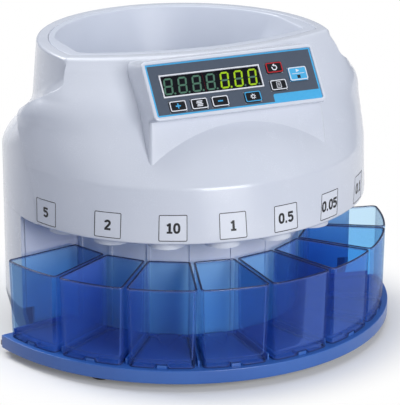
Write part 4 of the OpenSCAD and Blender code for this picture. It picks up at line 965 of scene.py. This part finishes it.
def rubber_feet():
    """Feet: a lathed profile with a rounded tread and a shallow ring under it, at four places."""
    a = np.linspace(0, 2 * math.pi, 41)[:-1]
    section = np.concatenate([[(2.5, 0.5), (4.6, 0.5)], bend((5.0, 0.0), (7.6, 0.0), (8.9, 1.6), 6),
                              bend((8.9, 1.6), (10, 3.0), (10, 4.6), 5), [(10, 6.0), (3, 6.0)]])
    r, z = section[:, :1], section[:, 1:]
    skins = []
    for azimuth, reach in ((-47.5, 166), (47.5, 166), (-140, 118), (140, 118)):
        w = math.radians(azimuth)
        skins.append(loft(np.stack([reach * math.sin(w) + r * np.cos(a), reach * math.cos(w) + r * np.sin(a),
                                    z + 0 * a], -1)))
    piece("feet_moulding", skins, RUBBER, "machine", ["rubber_feet"])


front_cover()
rear_shell()
hopper_bowl()
console()
display()
keys()
labels()
for number in range(BOX_N):
    coin_box(number)
coin_tray()
rubber_feet()

# Finishes of the nodes that keep their CAD shape
KEPT = {
    COVER: ["rear_column"],
    BAY: ["bay_wall"],
    DECK: [name for name in NODES if "chute" in name],
    BASE: ["base_pan", "rear_panel"],
    DISC: ["coin_disc", "coin_rail", "driven_pulley", "motor_pulley"],
    STEEL: ["sorting_plate", "disc_shaft", "motor_shaft", "shaft_bearings"],
    ZINC: ["motor_bracket", "power_supply", "base_screws", "rear_screws", "inlet_pins"],
    MOTOR: ["motor"],
    RUBBER: ["drive_belt"],
    BOARD: ["keypad_board", "main_board", "sensor_board"],
    BLACK: ["board_parts", "coin_sensors", "key_switches", "power_inlet", "switch_body", "fuse_holder"],
    ROCKER: ["switch_rocker"],
    MODULE: ["display_modules"],
    OVERLAY: ["panel_overlay"],
    WINDOW: ["display_window"],
}
for finish, names in KEPT.items():
    for node in names:
        NODES[node].data.materials.clear()
        NODES[node].data.materials.append(finish)


# Stage, light and camera

def floor_paint():
    """White ground that keeps the shadow: to the eye, in gloss and through clear pieces it is plain white
    away from the machine, and the light it throws back is a dull grey blue."""
    p = Paint("ground_white")
    path = p.node("ShaderNodeLightPath", out="Is Camera Ray")
    rays = path.socket.node.outputs
    seen = path.most(Wire(p, rays["Is Glossy Ray"])).most(Wire(p, rays["Is Transmission Ray"]))
    away = p.node("ShaderNodeVectorMath", {"operation": "DISTANCE"},
                  {0: p.coords(), 1: (0, AXIS_Y / 1000, 0)}, out="Value").step(0.212, 0.03)
    dull = p.node("ShaderNodeBsdfDiffuse", {}, {"Color": (0.31, 0.33, 0.40, 1)})
    ground = p.node("ShaderNodeBsdfDiffuse", {}, {"Color": (0.97, 0.97, 0.97, 1)})
    white = p.node("ShaderNodeEmission", {}, {"Color": (1, 1, 1, 1), "Strength": 1.0})
    shown = p.node("ShaderNodeMixShader", {}, {0: 0.1 + 0.9 * away, 1: ground, 2: white})
    return p.finish(p.node("ShaderNodeMixShader", {}, {0: seen, 1: dull, 2: shown}))


def stage():
    """A wide flat ground under the feet, finer near the machine."""
    rings, cols = (0.3, 0.8, 2.0, 6.0), 48
    a = np.linspace(0, 2 * math.pi, cols + 1)[:-1]
    r = np.array(rings)[:, None]
    points = np.stack([r * np.cos(a), r * np.sin(a), np.full((len(rings), cols), -0.0002)], -1).reshape(-1, 3)
    mesh = bpy.data.meshes.new("ground")
    faces = quads(len(rings), cols, False, True).tolist() + [list(range(cols - 1, -1, -1))]
    mesh.from_pydata(points.tolist(), [], [f[::-1] for f in faces])
    mesh.update()
    mesh.materials.append(floor_paint())
    obj = bpy.data.objects.new("ground", mesh)
    bpy.context.scene.collection.objects.link(obj)


def softbox(name, place, aim, size, power):
    """A square studio lamp at a place in metres, turned to a point."""
    data = bpy.data.lights.new(name, "AREA")
    data.shape, data.size, data.energy = "SQUARE", size, power
    obj = bpy.data.objects.new(name, data)
    obj.location = place
    obj.rotation_euler = (Vector(aim) - Vector(place)).to_track_quat("-Z", "Y").to_euler()
    bpy.context.scene.collection.objects.link(obj)


def world_light():
    """Even pale blue light all round."""
    world = bpy.data.worlds.new("studio")
    bpy.context.scene.world = world
    world.use_nodes = True
    sky = world.node_tree.nodes["Background"].inputs
    sky["Color"].default_value, sky["Strength"].default_value = (0.72, 0.80, 1.0, 1), 0.20


stage()
world_light()
softbox("lamp_front", (0.2, -1.8, 0.72), (0, 0, 0.15), 0.9, 22.5)
softbox("lamp_top", (0.1, 0.2, 1.7), (0, 0, 0.1), 1.2, 11)
softbox("lamp_back", (-0.75, 1.1, 1.45), (0, 0, 0.15), 0.9, 20)

# Camera: the point it looks at, the way back to it, its distance and its roll
TARGET, BACK_WAY = Vector((0.0154, 0.0103, 0.101)), Vector((-0.4005, -0.8604, 0.3150)).normalized()
DISTANCE, ROLL = 1.822, math.radians(0.2)
lens = bpy.data.cameras.new("photo_view")
lens.sensor_fit, lens.sensor_height, lens.lens, lens.clip_end = "VERTICAL", 36.0, 184.0, 50.0
camera = bpy.data.objects.new("photo_view", lens)
camera.matrix_world = (Matrix.Translation(TARGET + DISTANCE * BACK_WAY)
                       @ (-BACK_WAY).to_track_quat("-Z", "Y").to_matrix().to_4x4()
                       @ Matrix.Rotation(ROLL, 4, "Z"))
bpy.context.scene.collection.objects.link(camera)
bpy.context.scene.camera = camera
bpy.context.scene.view_settings.view_transform = "Standard"
bpy.context.scene.cycles.transparent_max_bounces = 32
